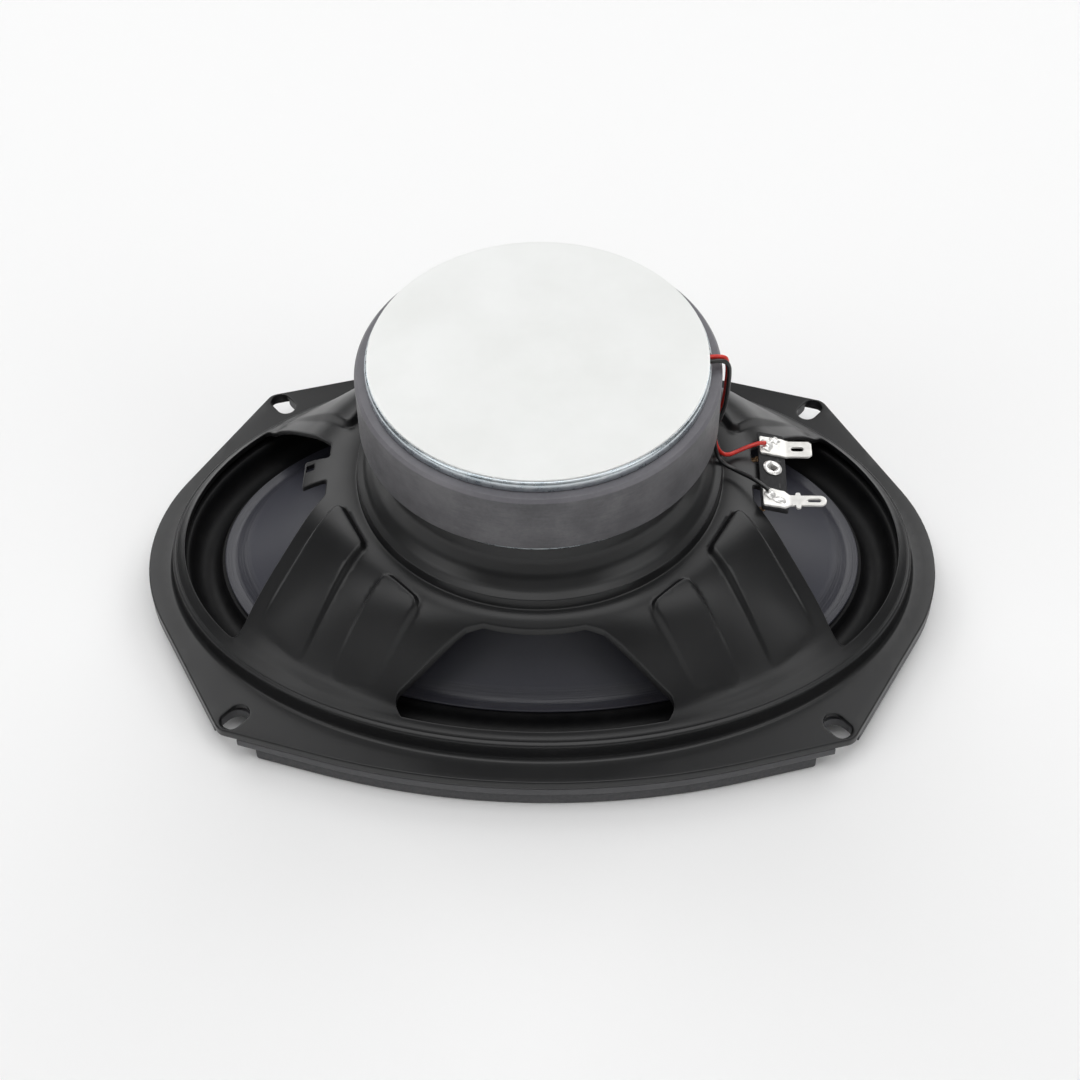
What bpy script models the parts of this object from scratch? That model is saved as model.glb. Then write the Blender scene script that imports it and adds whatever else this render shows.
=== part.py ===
"""A 6 x 9 inch coaxial car loudspeaker lying face down, magnet up.

Sizes are in millimetres and MM turns them into metres. The long axis is X, the
terminals are at +X, and the lowest face of the front gasket is at Z = 0.
"""

import math

import bmesh
import bpy

MM = 0.001

# ---- flange and trim: a quarter outline of two arcs, two straights and an ear
FLANGE_HALF_LENGTH = 118.7
FLANGE_HALF_WIDTH = 83.5
SIDE_ARC_R = 221.7
SIDE_ARC_END_DEG = 74.0
END_ARC_R = 56.6
END_ARC_END_DEG = 29.2
EAR_ROUND_R = 4.2
EAR_HOLE_X, EAR_HOLE_Y = 85.2, 62.5
EAR_HOLE_WIDTH, EAR_HOLE_LENGTH = 6.2, 9.4
EAR_HOLE_TURN_DEG = 50.0
TRIM_NOTCH_WIDTH = 8.6
TRIM_NOTCH_REACH = 13.0
FLANGE_TOP_Z = 11.0
SHEET = 1.5
LIP_DEPTH = 3.1
SEGMENT_HEIGHT = 4.7
TRIM_TOP_Z = 7.6
TRIM_OPENING = (106.0, 71.2)
SEGMENT_HALF_LENGTH = 79.5
SEGMENT_WIDTH = 10.0

# ---- basket: step, shelf, panel, ring and neck
STEP_OVAL = (110.8, 75.3)
SHELF_OVAL = (110.0, 74.5)
SHELF_Z = 17.0
GROOVE_R, GROOVE_Z = 52.9, 48.8
RING_R, RING_Z = 52.3, 52.2
NECK_R, NECK_TOP_Z = 45.0, 66.2
NECK_HOLE_R = 31.0
PANEL_EASE = 1.15
WINDOW_EDGE_Z = 19.0
EDGE_LIFT_FROM = 0.8
PAD_RISE = 2.4
PAD_EDGE = 2.2
PAD_OUTER = ((56.4, 14.7), (51.8, 28.3), (68.5, 47.0), (79.0, 40.0))
PAD_INNER = ((41.4, 42.3), (31.3, 49.6), (45.0, 60.0), (60.0, 54.5))

# ---- windows, in plan
WINDOW_OVAL = (106.7, 71.7)
SIDE_WINDOW_TOP = (61.3, 9.2)
SIDE_WINDOW_TIP = (87.6, 39.6)
END_WINDOW_TOP = (18.8, 56.2)
END_WINDOW_TIP = (39.6, 63.0)
WINDOW_TOP_R = 57.6
TAB_HALF_WIDTH = 5.0
TAB_ROOT_HALF_WIDTH = 4.5
TAB_END_X = 68.7
TAB_HOLE = 2.5
TAB_HOLE_AT = (66.9, 1.9)

# ---- motor
MAGNET_R, MAGNET_BORE_R = 50.3, 25.0
MAGNET_BOTTOM_Z, MAGNET_TOP_Z = 71.1, 89.7
MAGNET_CHAMFER = 1.6
FRONT_PLATE_R, FRONT_PLATE_BORE_R = 46.8, 19.9
FRONT_PLATE_Z = (66.6, 70.8)
BACK_PLATE_R = 47.3
BACK_PLATE_Z = (90.0, 93.2)
POLE_R = 17.6
POLE_END_Z = 66.6
BORE_R = 7.0
RECESS_R, RECESS_Z = 11.6, 91.0
GROOVE_HALF_WIDTH = 2.1
LABEL_R = 46.6
LABEL_Z = (93.5, 93.9)

# ---- moving parts
COIL_R = 18.1
FORMER_WALL = 0.4
FORMER_Z = (43.4, 74.6)
WINDING_Z = (62.6, 74.4)
CONE_OVAL = (95.5, 60.3)
CONE_BEND_OVAL = (91.5, 56.5)
CONE_EDGE_Z = 12.0
CONE_NECK_Z = 44.0
CONE_NECK_R = 18.85
CONE_SKIN = 0.8
ROLL_OVAL = (106.0, 70.8)
ROLL_DEPTH = 5.6
LIP_OVAL = (108.8, 73.3)
LIP_Z = 14.2
SPIDER_R = (18.85, 50.8)
SPIDER_Z = 49.3
SPIDER_WAVES = 5
SPIDER_WAVE_RISE = 1.3

# ---- terminals
BOARD_CENTRE = (67.2, 1.0, 47.0)
BOARD_SIZE = (7.8, 29.4, 1.6)
BOARD_TILT_DEG = 15.0
LUG_SHEET = 0.8
WIDE_LUG_Y, WIDE_LUG_WIDTH, WIDE_LUG_END = 9.9, 6.2, 79.0
WIDE_SLOT_X, WIDE_SLOT = 74.6, (2.0, 4.0)
NARROW_LUG_Y, NARROW_LUG_WIDTH, NARROW_LUG_END = -10.2, 3.8, 82.0
NARROW_SLOT_X, NARROW_SLOT = 78.2, (1.7, 4.2)
EYELET_AT = (67.2, 1.8)
WIRE_R = 0.62
TINSEL_R = 0.8

# ---- tweeter on its post
POST_R = 3.0
POST_Z = (25.6, 93.0)
WASHER_R, WASHER_Z = 10.8, (91.3, 91.9)
NUT_FLATS, NUT_Z = 14.8, (92.2, 93.1)
TWEETER_R = 22.0
TWEETER_Z = (9.0, 27.0)

# ---- how finely round things are cut
ROUND_STEPS = 40
SWEEP_STEP_DEG = 5.0
EAR_EXTRA_DEG = (-2.6, -1.0, 0.2, 1.4, 3.0)


def clear_scene():
    for obj in list(bpy.data.objects):
        bpy.data.objects.remove(obj, do_unlink=True)


def make_material(name, colour, roughness, metallic=0.0):
    material = bpy.data.materials.new(name)
    material.use_nodes = True
    shader = material.node_tree.nodes["Principled BSDF"]
    shader.inputs["Base Color"].default_value = (*colour, 1.0)
    shader.inputs["Roughness"].default_value = roughness
    shader.inputs["Metallic"].default_value = metallic
    material.diffuse_color = (*colour, 1.0)
    return material


def new_object(name, points, edges, faces, material):
    """An object from points in millimetres."""
    mesh = bpy.data.meshes.new(name)
    mesh.from_pydata([(x * MM, y * MM, z * MM) for x, y, z in points], edges, faces)
    mesh.update()
    obj = bpy.data.objects.new(name, mesh)
    bpy.context.scene.collection.objects.link(obj)
    if material:
        mesh.materials.append(material)
    return obj


def face_outward(obj):
    work = bmesh.new()
    work.from_mesh(obj.data)
    bmesh.ops.recalc_face_normals(work, faces=work.faces)
    work.to_mesh(obj.data)
    work.free()


def smooth(obj, angle_deg=35.0):
    obj.data.shade_smooth()
    obj.data.set_sharp_from_angle(angle=math.radians(angle_deg))


def lathe(name, profile, material, steps=ROUND_STEPS):
    """Turns a closed (radius, z) outline about Z. Points at radius 0 close on the axis."""
    closed = all(radius > 0 for radius, _ in profile)
    points = [(radius, 0.0, z) for radius, z in profile]
    edges = [(i, i + 1) for i in range(len(points) - 1)]
    if closed:
        edges.append((len(points) - 1, 0))
    obj = new_object(name, points, edges, [], material)
    screw = obj.modifiers.new("Turn", "SCREW")
    screw.axis = "Z"
    screw.steps = steps
    screw.render_steps = steps
    screw.use_merge_vertices = True
    screw.merge_threshold = 0.00002
    screw.use_smooth_shade = True
    return obj


def sweep(name, angles, section, material):
    """A closed ring through the (radius, z) loop that section(angle) gives at each angle."""
    points = []
    loops = [section(angle) for angle in angles]
    count = len(loops[0])
    for angle, loop in zip(angles, loops):
        for radius, z in loop:
            points.append((radius * math.cos(angle), radius * math.sin(angle), z))
    faces = []
    for i in range(len(angles)):
        after = (i + 1) % len(angles)
        for j in range(count):
            k = (j + 1) % count
            faces.append((i * count + j, after * count + j, after * count + k, i * count + k))
    obj = new_object(name, points, [], faces, material)
    face_outward(obj)
    smooth(obj)
    return obj


def prism(name, outline, z_low, z_high, material=None):
    """A flat outline raised from z_low to z_high."""
    count = len(outline)
    points = [(x, y, z_low) for x, y in outline] + [(x, y, z_high) for x, y in outline]
    faces = [tuple(range(count)), tuple(range(2 * count - 1, count - 1, -1))]
    for i in range(count):
        j = (i + 1) % count
        faces.append((i, j, count + j, count + i))
    obj = new_object(name, points, [], faces, material)
    face_outward(obj)
    return obj


def cut(obj, cutter, operation="DIFFERENCE"):
    cutter.hide_render = True
    cutter.display_type = "WIRE"
    boolean = obj.modifiers.new(cutter.name, "BOOLEAN")
    boolean.object = cutter
    boolean.operation = operation
    boolean.solver = "EXACT"


def oval(axes, angle):
    """Polar radius of an ellipse with these half axes."""
    return 1.0 / math.hypot(math.cos(angle) / axes[0], math.sin(angle) / axes[1])


def grown(axes, by):
    return (axes[0] + by, axes[1] + by)


def ray_circle(centre, radius, angle):
    """Distance from the origin along the ray to the far side of a circle."""
    along = centre[0] * math.cos(angle) + centre[1] * math.sin(angle)
    across = centre[0] ** 2 + centre[1] ** 2 - along**2
    return along + math.sqrt(max(radius**2 - across, 0.0))


def ray_line(normal_angle, distance, angle):
    return distance / math.cos(angle - normal_angle)


def flange_radius(angle, inset=0.0):
    """Polar radius of the eared flange outline, drawn in by inset."""
    x, y = abs(math.cos(angle)), abs(math.sin(angle))
    turn = math.atan2(y, x)
    side_angle = math.radians(SIDE_ARC_END_DEG)
    end_angle = math.radians(END_ARC_END_DEG)
    side_centre = (0.0, FLANGE_HALF_WIDTH - SIDE_ARC_R)
    end_centre = (FLANGE_HALF_LENGTH - END_ARC_R, 0.0)
    side_r, end_r, ear_r = SIDE_ARC_R - inset, END_ARC_R - inset, max(EAR_ROUND_R - inset, 1.0)
    side_line = side_r + side_centre[1] * math.sin(side_angle)
    end_line = end_r + end_centre[0] * math.cos(end_angle)
    spread = math.sin(side_angle - end_angle)
    reach = (side_line - ear_r, end_line - ear_r)
    ear_x = (reach[1] * math.sin(side_angle) - reach[0] * math.sin(end_angle)) / spread
    ear_y = (reach[0] * math.cos(end_angle) - reach[1] * math.cos(side_angle)) / spread
    stretches = (
        (end_centre[0] + end_r * math.cos(end_angle), end_r * math.sin(end_angle)),
        (ear_x + ear_r * math.cos(end_angle), ear_y + ear_r * math.sin(end_angle)),
        (ear_x + ear_r * math.cos(side_angle), ear_y + ear_r * math.sin(side_angle)),
        (side_r * math.cos(side_angle), side_centre[1] + side_r * math.sin(side_angle)),
    )
    bounds = [math.atan2(y, x) for x, y in stretches]
    if turn < bounds[0]:
        return ray_circle(end_centre, end_r, turn)
    if turn < bounds[1]:
        return ray_line(end_angle, end_line, turn)
    if turn < bounds[2]:
        return ray_circle((ear_x, ear_y), ear_r, turn)
    if turn < bounds[3]:
        return ray_line(side_angle, side_line, turn)
    return ray_circle(side_centre, side_r, turn)


def sweep_angles():
    """Even steps round the oval, with more where the ears turn."""
    ear = math.degrees(math.atan2(66.5, 89.5))
    quarter = {i * SWEEP_STEP_DEG for i in range(int(90 / SWEEP_STEP_DEG) + 1)}
    quarter -= {angle for angle in quarter if abs(angle - ear) < 3.5}
    quarter |= {ear + extra for extra in EAR_EXTRA_DEG}
    full = set()
    for angle in quarter:
        for turned in (angle, 180 - angle, 180 + angle, 360 - angle):
            full.add(round(turned % 360, 6))
    return [math.radians(angle) for angle in sorted(full)]


def even_angles(count):
    return [2 * math.pi * i / count for i in range(count)]


def step_smoothly(value):
    value = min(max(value, 0.0), 1.0)
    return value * value * (3 - 2 * value)


def inside_depth(x, y, corners):
    """How deep a point lies inside a convex outline, negative outside."""
    depth = 1e9
    middle_x = sum(corner[0] for corner in corners) / len(corners)
    middle_y = sum(corner[1] for corner in corners) / len(corners)
    for i, (ax, ay) in enumerate(corners):
        bx, by = corners[(i + 1) % len(corners)]
        nx, ny = by - ay, ax - bx
        length = math.hypot(nx, ny)
        side = (middle_x - ax) * nx + (middle_y - ay) * ny
        sign = 1 if side > 0 else -1
        depth = min(depth, sign * ((x - ax) * nx + (y - ay) * ny) / length)
    return depth


def panel_base(angle, share):
    """Radius and height of the plain panel between the groove (0) and the shelf (1)."""

    def plain(at):
        return GROOVE_Z - (GROOVE_Z - SHELF_Z) * step_smoothly(at**PANEL_EASE)

    reach = oval(SHELF_OVAL, angle) - GROOVE_R
    window = (oval(WINDOW_OVAL, angle) - GROOVE_R) / reach
    lift = max(WINDOW_EDGE_Z - plain(window), 0.0)
    if share < window:
        lift *= step_smoothly((share - EDGE_LIFT_FROM) / (window - EDGE_LIFT_FROM))
    else:
        lift *= (1.0 - share) / (1.0 - window)
    return GROOVE_R + share * reach, plain(share) + lift


def panel_z(angle, share):
    """The outer skin, with the raised pads."""
    radius, base = panel_base(angle, share)
    x, y = abs(radius * math.cos(angle)), abs(radius * math.sin(angle))
    depth = max(inside_depth(x, y, pad) for pad in (PAD_OUTER, PAD_INNER))
    fade = step_smoothly((0.86 - share) / 0.66)
    return radius, base + PAD_RISE * fade * step_smoothly(depth / PAD_EDGE + 0.5)


PANEL_SHARES = (0.1, 0.2, 0.3, 0.41, 0.53, 0.66, 0.8, 0.92, 1.0)


def basket_section(angle):
    """Down the outside from the neck to the flange edge, then back up the inside."""
    rim = flange_radius(angle)
    step = oval(STEP_OVAL, angle)
    loop = [
        (NECK_HOLE_R, NECK_TOP_Z),
        (NECK_R - 0.6, NECK_TOP_Z),
        (NECK_R + 0.4, NECK_TOP_Z - 1.2),
        (45.7, 60.5),
        (47.1, 56.6),
        (49.3, 53.9),
        (51.4, 52.6),
        (RING_R, RING_Z - 0.4),
        (RING_R + 0.4, GROOVE_Z + 0.7),
    ]
    loop += [panel_z(angle, share) for share in (0.02,) + PANEL_SHARES]
    loop += [
        (step, SHELF_Z - 1.0),
        (step + 0.4, FLANGE_TOP_Z + 1.1),
        (step + 1.5, FLANGE_TOP_Z),
        (rim - 0.8, FLANGE_TOP_Z),
        (rim, FLANGE_TOP_Z - 0.8),
        (rim, FLANGE_TOP_Z - LIP_DEPTH),
        (rim - SHEET, FLANGE_TOP_Z - LIP_DEPTH),
        (rim - SHEET, FLANGE_TOP_Z - SHEET),
        (step - SHEET + 0.4, FLANGE_TOP_Z - SHEET),
        (step - SHEET, SHELF_Z - SHEET - 0.4),
    ]
    for share in reversed(PANEL_SHARES[1:-1:2]):
        radius, base = panel_base(angle, share)
        drop = 1.1 + 1.0 * math.sin(math.pi * share)
        loop.append((radius - 0.5, base - SHEET * drop))
    loop += [
        (51.3, 47.2),
        (51.2, 50.4),
        (50.3, 51.2),
        (47.4, 53.3),
        (45.5, 56.4),
        (44.2, 60.4),
        (43.8, NECK_TOP_Z - SHEET),
        (NECK_HOLE_R, NECK_TOP_Z - SHEET),
    ]
    return loop


def rounded_path(corners, radii, steps=4):
    """A closed outline with each corner rounded to its own radius."""
    path = []
    count = len(corners)
    for i, (x, y) in enumerate(corners):
        radius = radii[i]
        if radius <= 0:
            path.append((x, y))
            continue
        arms = []
        for other in (corners[i - 1], corners[(i + 1) % count]):
            dx, dy = other[0] - x, other[1] - y
            length = math.hypot(dx, dy)
            arms.append((dx / length, dy / length))
        dot = arms[0][0] * arms[1][0] + arms[0][1] * arms[1][1]
        half = math.acos(max(-1.0, min(1.0, dot))) / 2
        back = radius / math.tan(half)
        reach = radius / math.sin(half)
        mid = (arms[0][0] + arms[1][0], arms[0][1] + arms[1][1])
        length = math.hypot(*mid)
        centre = (x + mid[0] / length * reach, y + mid[1] / length * reach)
        first = (x + arms[0][0] * back - centre[0], y + arms[0][1] * back - centre[1])
        last = (x + arms[1][0] * back - centre[0], y + arms[1][1] * back - centre[1])
        start = math.atan2(first[1], first[0])
        turn = math.atan2(last[1], last[0]) - start
        turn = (turn + math.pi) % (2 * math.pi) - math.pi
        for k in range(steps + 1):
            angle = start + turn * k / steps
            path.append((centre[0] + radius * math.cos(angle), centre[1] + radius * math.sin(angle)))
    return path


def oval_arc(axes, start, end, count):
    """Points of an ellipse between two polar angles."""
    path = []
    for i in range(count + 1):
        angle = start + (end - start) * i / count
        radius = oval(axes, angle)
        path.append((radius * math.cos(angle), radius * math.sin(angle)))
    return path


def side_window_outline(sign):
    """The window at one end of the long axis, with the tab left standing in it."""
    tip_angle = math.atan2(SIDE_WINDOW_TIP[1] - 1.6, SIDE_WINDOW_TIP[0] + 2.0)
    arc = oval_arc(WINDOW_OVAL, -tip_angle, tip_angle, 12)
    top_x, top_y = SIDE_WINDOW_TOP
    corners = arc + [SIDE_WINDOW_TIP, (top_x, top_y), (top_x, TAB_ROOT_HALF_WIDTH)]
    corners += [(TAB_END_X, TAB_HALF_WIDTH), (TAB_END_X, -TAB_HALF_WIDTH)]
    corners += [(top_x, -TAB_ROOT_HALF_WIDTH), (top_x, -top_y), (SIDE_WINDOW_TIP[0], -SIDE_WINDOW_TIP[1])]
    radii = [0.0] * len(arc) + [3.0, 1.4, 0.8, 0.7, 0.7, 0.8, 1.4, 3.0]
    path = rounded_path(corners, radii, 3)
    return [(sign * x, y) for x, y in path]


def end_window_outline(sign):
    """The window on one long side."""
    tip_angle = math.atan2(END_WINDOW_TIP[1] + 3.0, END_WINDOW_TIP[0] - 3.0)
    arc = oval_arc(WINDOW_OVAL, tip_angle, math.pi - tip_angle, 8)
    top_x, top_y = END_WINDOW_TOP
    top = oval_arc((WINDOW_TOP_R, WINDOW_TOP_R), math.radians(104), math.radians(76), 4)
    corners = arc + [(-END_WINDOW_TIP[0], END_WINDOW_TIP[1]), (-top_x, top_y)] + top
    corners += [(top_x, top_y), END_WINDOW_TIP]
    radii = [0.0] * len(arc) + [2.6, 1.6] + [0.0] * len(top) + [1.6, 2.6]
    path = rounded_path(corners, radii, 3)
    return [(x, sign * y) for x, y in path]


def slot_outline(centre, width, length, turn, steps=6):
    """A slot with round ends."""
    half = (length - width) / 2
    path = []
    for end in (1, -1):
        for i in range(steps + 1):
            angle = math.pi * i / steps - math.pi / 2
            x = end * (half + width / 2 * math.cos(angle))
            y = end * width / 2 * math.sin(angle)
            path.append(
                (
                    centre[0] + x * math.cos(turn) - y * math.sin(turn),
                    centre[1] + x * math.sin(turn) + y * math.cos(turn),
                )
            )
    return path


def cut_ear_holes(obj, z_low, z_high, width, inner, outer):
    """Cuts a slot at each ear, from inner to outer along its own line through the hole's middle."""
    line = math.radians(EAR_HOLE_TURN_DEG)
    middle = (inner + outer) / 2
    x = EAR_HOLE_X + middle * math.cos(line)
    y = EAR_HOLE_Y + middle * math.sin(line)
    for sx in (1, -1):
        for sy in (1, -1):
            outline = slot_outline((sx * x, sy * y), width, outer - inner, line * sx * sy)
            cut(obj, prism(f"{obj.name}_hole_{sx}_{sy}", outline, z_low, z_high))


def cord(name, route, radius, material):
    """A round cord through hand-placed points, read evenly off a smooth curve."""
    dense = []
    for i in range(len(route) - 1):
        before = route[max(i - 1, 0)]
        a, b = route[i], route[i + 1]
        after = route[min(i + 2, len(route) - 1)]
        for k in range(16):
            t = k / 16
            dense.append(
                tuple(
                    0.5
                    * (
                        2 * q
                        + (r - p) * t
                        + (2 * p - 5 * q + 4 * r - s) * t * t
                        + (3 * q - p - 3 * r + s) * t**3
                    )
                    for p, q, r, s in zip(before, a, b, after)
                )
            )
    dense.append(tuple(route[-1]))
    gap = radius * 5.5
    kept = [dense[0]]
    travelled = 0.0
    for a, b in zip(dense, dense[1:]):
        travelled += math.dist(a, b)
        if travelled >= gap:
            kept.append(b)
            travelled = 0.0
    if math.dist(kept[-1], dense[-1]) < gap / 2:
        kept.pop()
    kept.append(dense[-1])
    data = bpy.data.curves.new(name, "CURVE")
    data.dimensions = "3D"
    data.bevel_depth = radius * MM
    data.bevel_resolution = 2
    data.use_fill_caps = True
    spline = data.splines.new("POLY")
    spline.points.add(len(kept) - 1)
    for point, (x, y, z) in zip(spline.points, kept):
        point.co = (x * MM, y * MM, z * MM, 1.0)
    obj = bpy.data.objects.new(name, data)
    bpy.context.scene.collection.objects.link(obj)
    data.materials.append(material)
    return obj


def build_basket(paint):
    basket = sweep("basket", sweep_angles(), basket_section, paint)
    for sign, side in ((1, "right"), (-1, "left")):
        cut(basket, prism(f"window_{side}", side_window_outline(sign), 12.5, 60.0))
        hole_x, hole_y = TAB_HOLE_AT
        corners = [
            (sign * (hole_x + dx * TAB_HOLE / 2), hole_y + dy * TAB_HOLE / 2)
            for dx, dy in ((1, 1), (-1, 1), (-1, -1), (1, -1))
        ]
        cut(basket, prism(f"tab_hole_{side}", corners, 38.0, 52.0))
    for sign, side in ((1, "back"), (-1, "front")):
        cut(basket, prism(f"window_{side}", end_window_outline(sign), 12.5, 60.0))
    half = EAR_HOLE_LENGTH / 2
    cut_ear_holes(basket, 5.0, 14.0, EAR_HOLE_WIDTH, -half, half)
    return basket


def build_front_trim(plastic, rubber):
    def trim_section(angle):
        rim = flange_radius(angle)
        opening = oval(TRIM_OPENING, angle)
        return [
            (opening, TRIM_TOP_Z),
            (rim, TRIM_TOP_Z),
            (rim, SEGMENT_HEIGHT + 0.5),
            (rim - 0.5, SEGMENT_HEIGHT),
            (opening + 0.6, SEGMENT_HEIGHT),
            (opening, SEGMENT_HEIGHT + 0.6),
        ]

    ring = sweep("front_trim_ring", sweep_angles(), trim_section, plastic)
    cut_ear_holes(ring, 2.0, 10.0, TRIM_NOTCH_WIDTH, -EAR_HOLE_LENGTH / 2, TRIM_NOTCH_REACH)
    for sign, side in ((1, "back"), (-1, "front")):
        outer = []
        inner = []
        for i in range(17):
            x = SEGMENT_HALF_LENGTH * (2 * i / 16 - 1)
            low, high = math.radians(25), math.pi / 2
            for _ in range(40):
                mid = (low + high) / 2
                if flange_radius(mid, 0.7) * math.cos(mid) > abs(x):
                    low = mid
                else:
                    high = mid
            y = flange_radius(low, 0.7) * math.sin(low)
            outer.append((x, y))
            inner.append((x * 0.985, y - SEGMENT_WIDTH))
        corners = outer + inner[::-1]
        radii = [0.0] * len(corners)
        for i in (0, 16, 17, 33):
            radii[i] = 2.4
        path = rounded_path(corners, radii, 3)
        path = [(x, sign * y) for x, y in path]
        prism(f"gasket_segment_{side}", path, 0.0, SEGMENT_HEIGHT - 0.3, rubber)
    return ring


def build_surround(rubber):
    def section(angle):
        lip = oval(LIP_OVAL, angle)
        roll_out = oval(ROLL_OVAL, angle)
        roll_in = oval(grown(CONE_OVAL, 1.0), angle)
        inner = oval(grown(CONE_BEND_OVAL, -0.6), angle)
        low = CONE_EDGE_Z - 0.45
        upper = [(lip, LIP_Z + 0.5), (roll_out + 0.6, LIP_Z + 0.5)]
        lower = [(lip, LIP_Z), (roll_out + 0.4, LIP_Z)]
        middle, half = (roll_out + roll_in) / 2, (roll_out - roll_in) / 2
        for i in range(1, 7):
            turn = math.pi * i / 7
            base = LIP_Z + (low - LIP_Z) * i / 7
            sag = ROLL_DEPTH * math.sin(turn)
            upper.append((middle + (half - 0.3) * math.cos(turn), base - sag + 0.5))
            lower.append((middle + half * math.cos(turn), base - sag))
        upper += [(roll_in - 0.4, low), (inner, low)]
        lower += [(roll_in - 0.2, low - 0.5), (inner, low - 0.5)]
        return upper + lower[::-1]

    return sweep("surround", even_angles(40), section, rubber)


def cone_skin(angle, share):
    """A point of the cone's rear skin: 0 at the bend near the edge, 1 at the neck."""
    bend = oval(CONE_BEND_OVAL, angle)
    radius = bend + (CONE_NECK_R - bend) * share
    rise = CONE_NECK_Z - CONE_EDGE_Z - 0.6
    return radius, CONE_EDGE_Z + 0.6 + rise * (1.12 * share - 0.12 * share * share)


def build_cone(paper):
    def section(angle):
        edge = oval(CONE_OVAL, angle)
        outer = [(edge, CONE_EDGE_Z + CONE_SKIN)]
        outer += [cone_skin(angle, share) for share in (0.0, 0.25, 0.5, 0.75, 1.0)]
        outer = [outer[0]] + [(radius, z + CONE_SKIN) for radius, z in outer[1:]]
        inner = [cone_skin(angle, share) for share in (1.0, 0.75, 0.5, 0.25, 0.0)]
        inner = [(radius, z - 0.1) for radius, z in inner]
        return outer + inner + [(edge, CONE_EDGE_Z)]

    return sweep("cone", even_angles(48), section, paper)


def build_spider(cloth):
    inner, outer = SPIDER_R
    top = []
    bottom = []
    count = SPIDER_WAVES * 2
    for i in range(count):
        share = (i + 0.5) / count
        radius = inner + 3.0 + (outer - inner - 6.0) * share
        wave = SPIDER_WAVE_RISE / 2 * (1 if i % 2 else -1)
        top.append((radius, SPIDER_Z + 0.3 + wave))
        bottom.append((radius, SPIDER_Z - 0.3 + wave))
    top = [(inner, SPIDER_Z + 0.3)] + top + [(outer, SPIDER_Z + 0.3)]
    bottom = [(inner, SPIDER_Z - 0.3)] + bottom + [(outer, SPIDER_Z - 0.3)]
    profile = top + bottom[::-1]
    return lathe("spider", profile, cloth, 32)


def build_motor(zinc, ferrite, steel, film, copper, kapton):
    low, high = FRONT_PLATE_Z
    lathe(
        "front_plate",
        [
            (FRONT_PLATE_BORE_R, high),
            (FRONT_PLATE_R, high),
            (FRONT_PLATE_R, low + 0.5),
            (FRONT_PLATE_R - 0.5, low),
            (FRONT_PLATE_BORE_R, low),
        ],
        zinc,
    )
    lathe(
        "magnet",
        [
            (MAGNET_BORE_R, MAGNET_TOP_Z),
            (MAGNET_R - MAGNET_CHAMFER, MAGNET_TOP_Z),
            (MAGNET_R, MAGNET_TOP_Z - 1.0),
            (MAGNET_R, MAGNET_BOTTOM_Z + 0.6),
            (MAGNET_R - 0.6, MAGNET_BOTTOM_Z),
            (MAGNET_BORE_R, MAGNET_BOTTOM_Z),
        ],
        ferrite,
    )
    low, high = BACK_PLATE_Z
    plate = lathe(
        "back_plate",
        [
            (BORE_R, RECESS_Z),
            (RECESS_R, RECESS_Z),
            (RECESS_R, high),
            (BACK_PLATE_R - 1.5, high),
            (BACK_PLATE_R - 0.4, high - 0.5),
            (BACK_PLATE_R, high - 1.5),
            (BACK_PLATE_R, low),
            (POLE_R, low),
            (POLE_R, POLE_END_Z + 0.6),
            (POLE_R - 0.6, POLE_END_Z),
            (BORE_R, POLE_END_Z),
        ],
        zinc,
    )
    groove = [
        (BORE_R + 2.0, -GROOVE_HALF_WIDTH),
        (BACK_PLATE_R + 2.0, -GROOVE_HALF_WIDTH),
        (BACK_PLATE_R + 2.0, GROOVE_HALF_WIDTH),
        (BORE_R + 2.0, GROOVE_HALF_WIDTH),
    ]
    cut(plate, prism("wire_groove", groove, RECESS_Z, high + 2.0))
    low, high = LABEL_Z
    lathe("rear_label", [(0.0, high), (LABEL_R, high), (LABEL_R, low), (0.0, low)], film)
    low, high = FORMER_Z
    wall = COIL_R + FORMER_WALL
    lathe("voice_coil_former", [(COIL_R, high), (wall, high), (wall, low), (COIL_R, low)], kapton, 36)
    low, high = WINDING_Z
    lathe(
        "voice_coil_winding",
        [(wall + 0.3, high), (wall + 0.8, high), (wall + 0.8, low), (wall + 0.3, low)],
        copper,
        36,
    )


def tilted(name, outline, thickness, lift, material, bend_x=None):
    """A sheet lying on the tilted terminal board, level beyond bend_x."""
    slope = math.tan(math.radians(BOARD_TILT_DEG))

    def height(x):
        reached = x if bend_x is None else min(x, bend_x)
        return BOARD_CENTRE[2] - slope * (reached - BOARD_CENTRE[0]) + lift

    obj = prism(name, outline, 0.0, thickness, material)
    work = bmesh.new()
    work.from_mesh(obj.data)
    if bend_x is not None:
        everything = work.verts[:] + work.edges[:] + work.faces[:]
        bmesh.ops.bisect_plane(work, geom=everything, plane_co=(bend_x * MM, 0, 0), plane_no=(1, 0, 0))
    for vert in work.verts:
        vert.co.z += height(vert.co.x / MM) * MM
    bmesh.ops.triangulate(work, faces=work.faces)
    work.to_mesh(obj.data)
    work.free()
    return obj


def lug_outline(y, width, start_x, end_x, corner):
    half = width / 2
    corners = [(start_x, y - half), (end_x, y - half), (end_x, y + half), (start_x, y + half)]
    return rounded_path(corners, [0.4, corner, corner, 0.4], 3)


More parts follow.
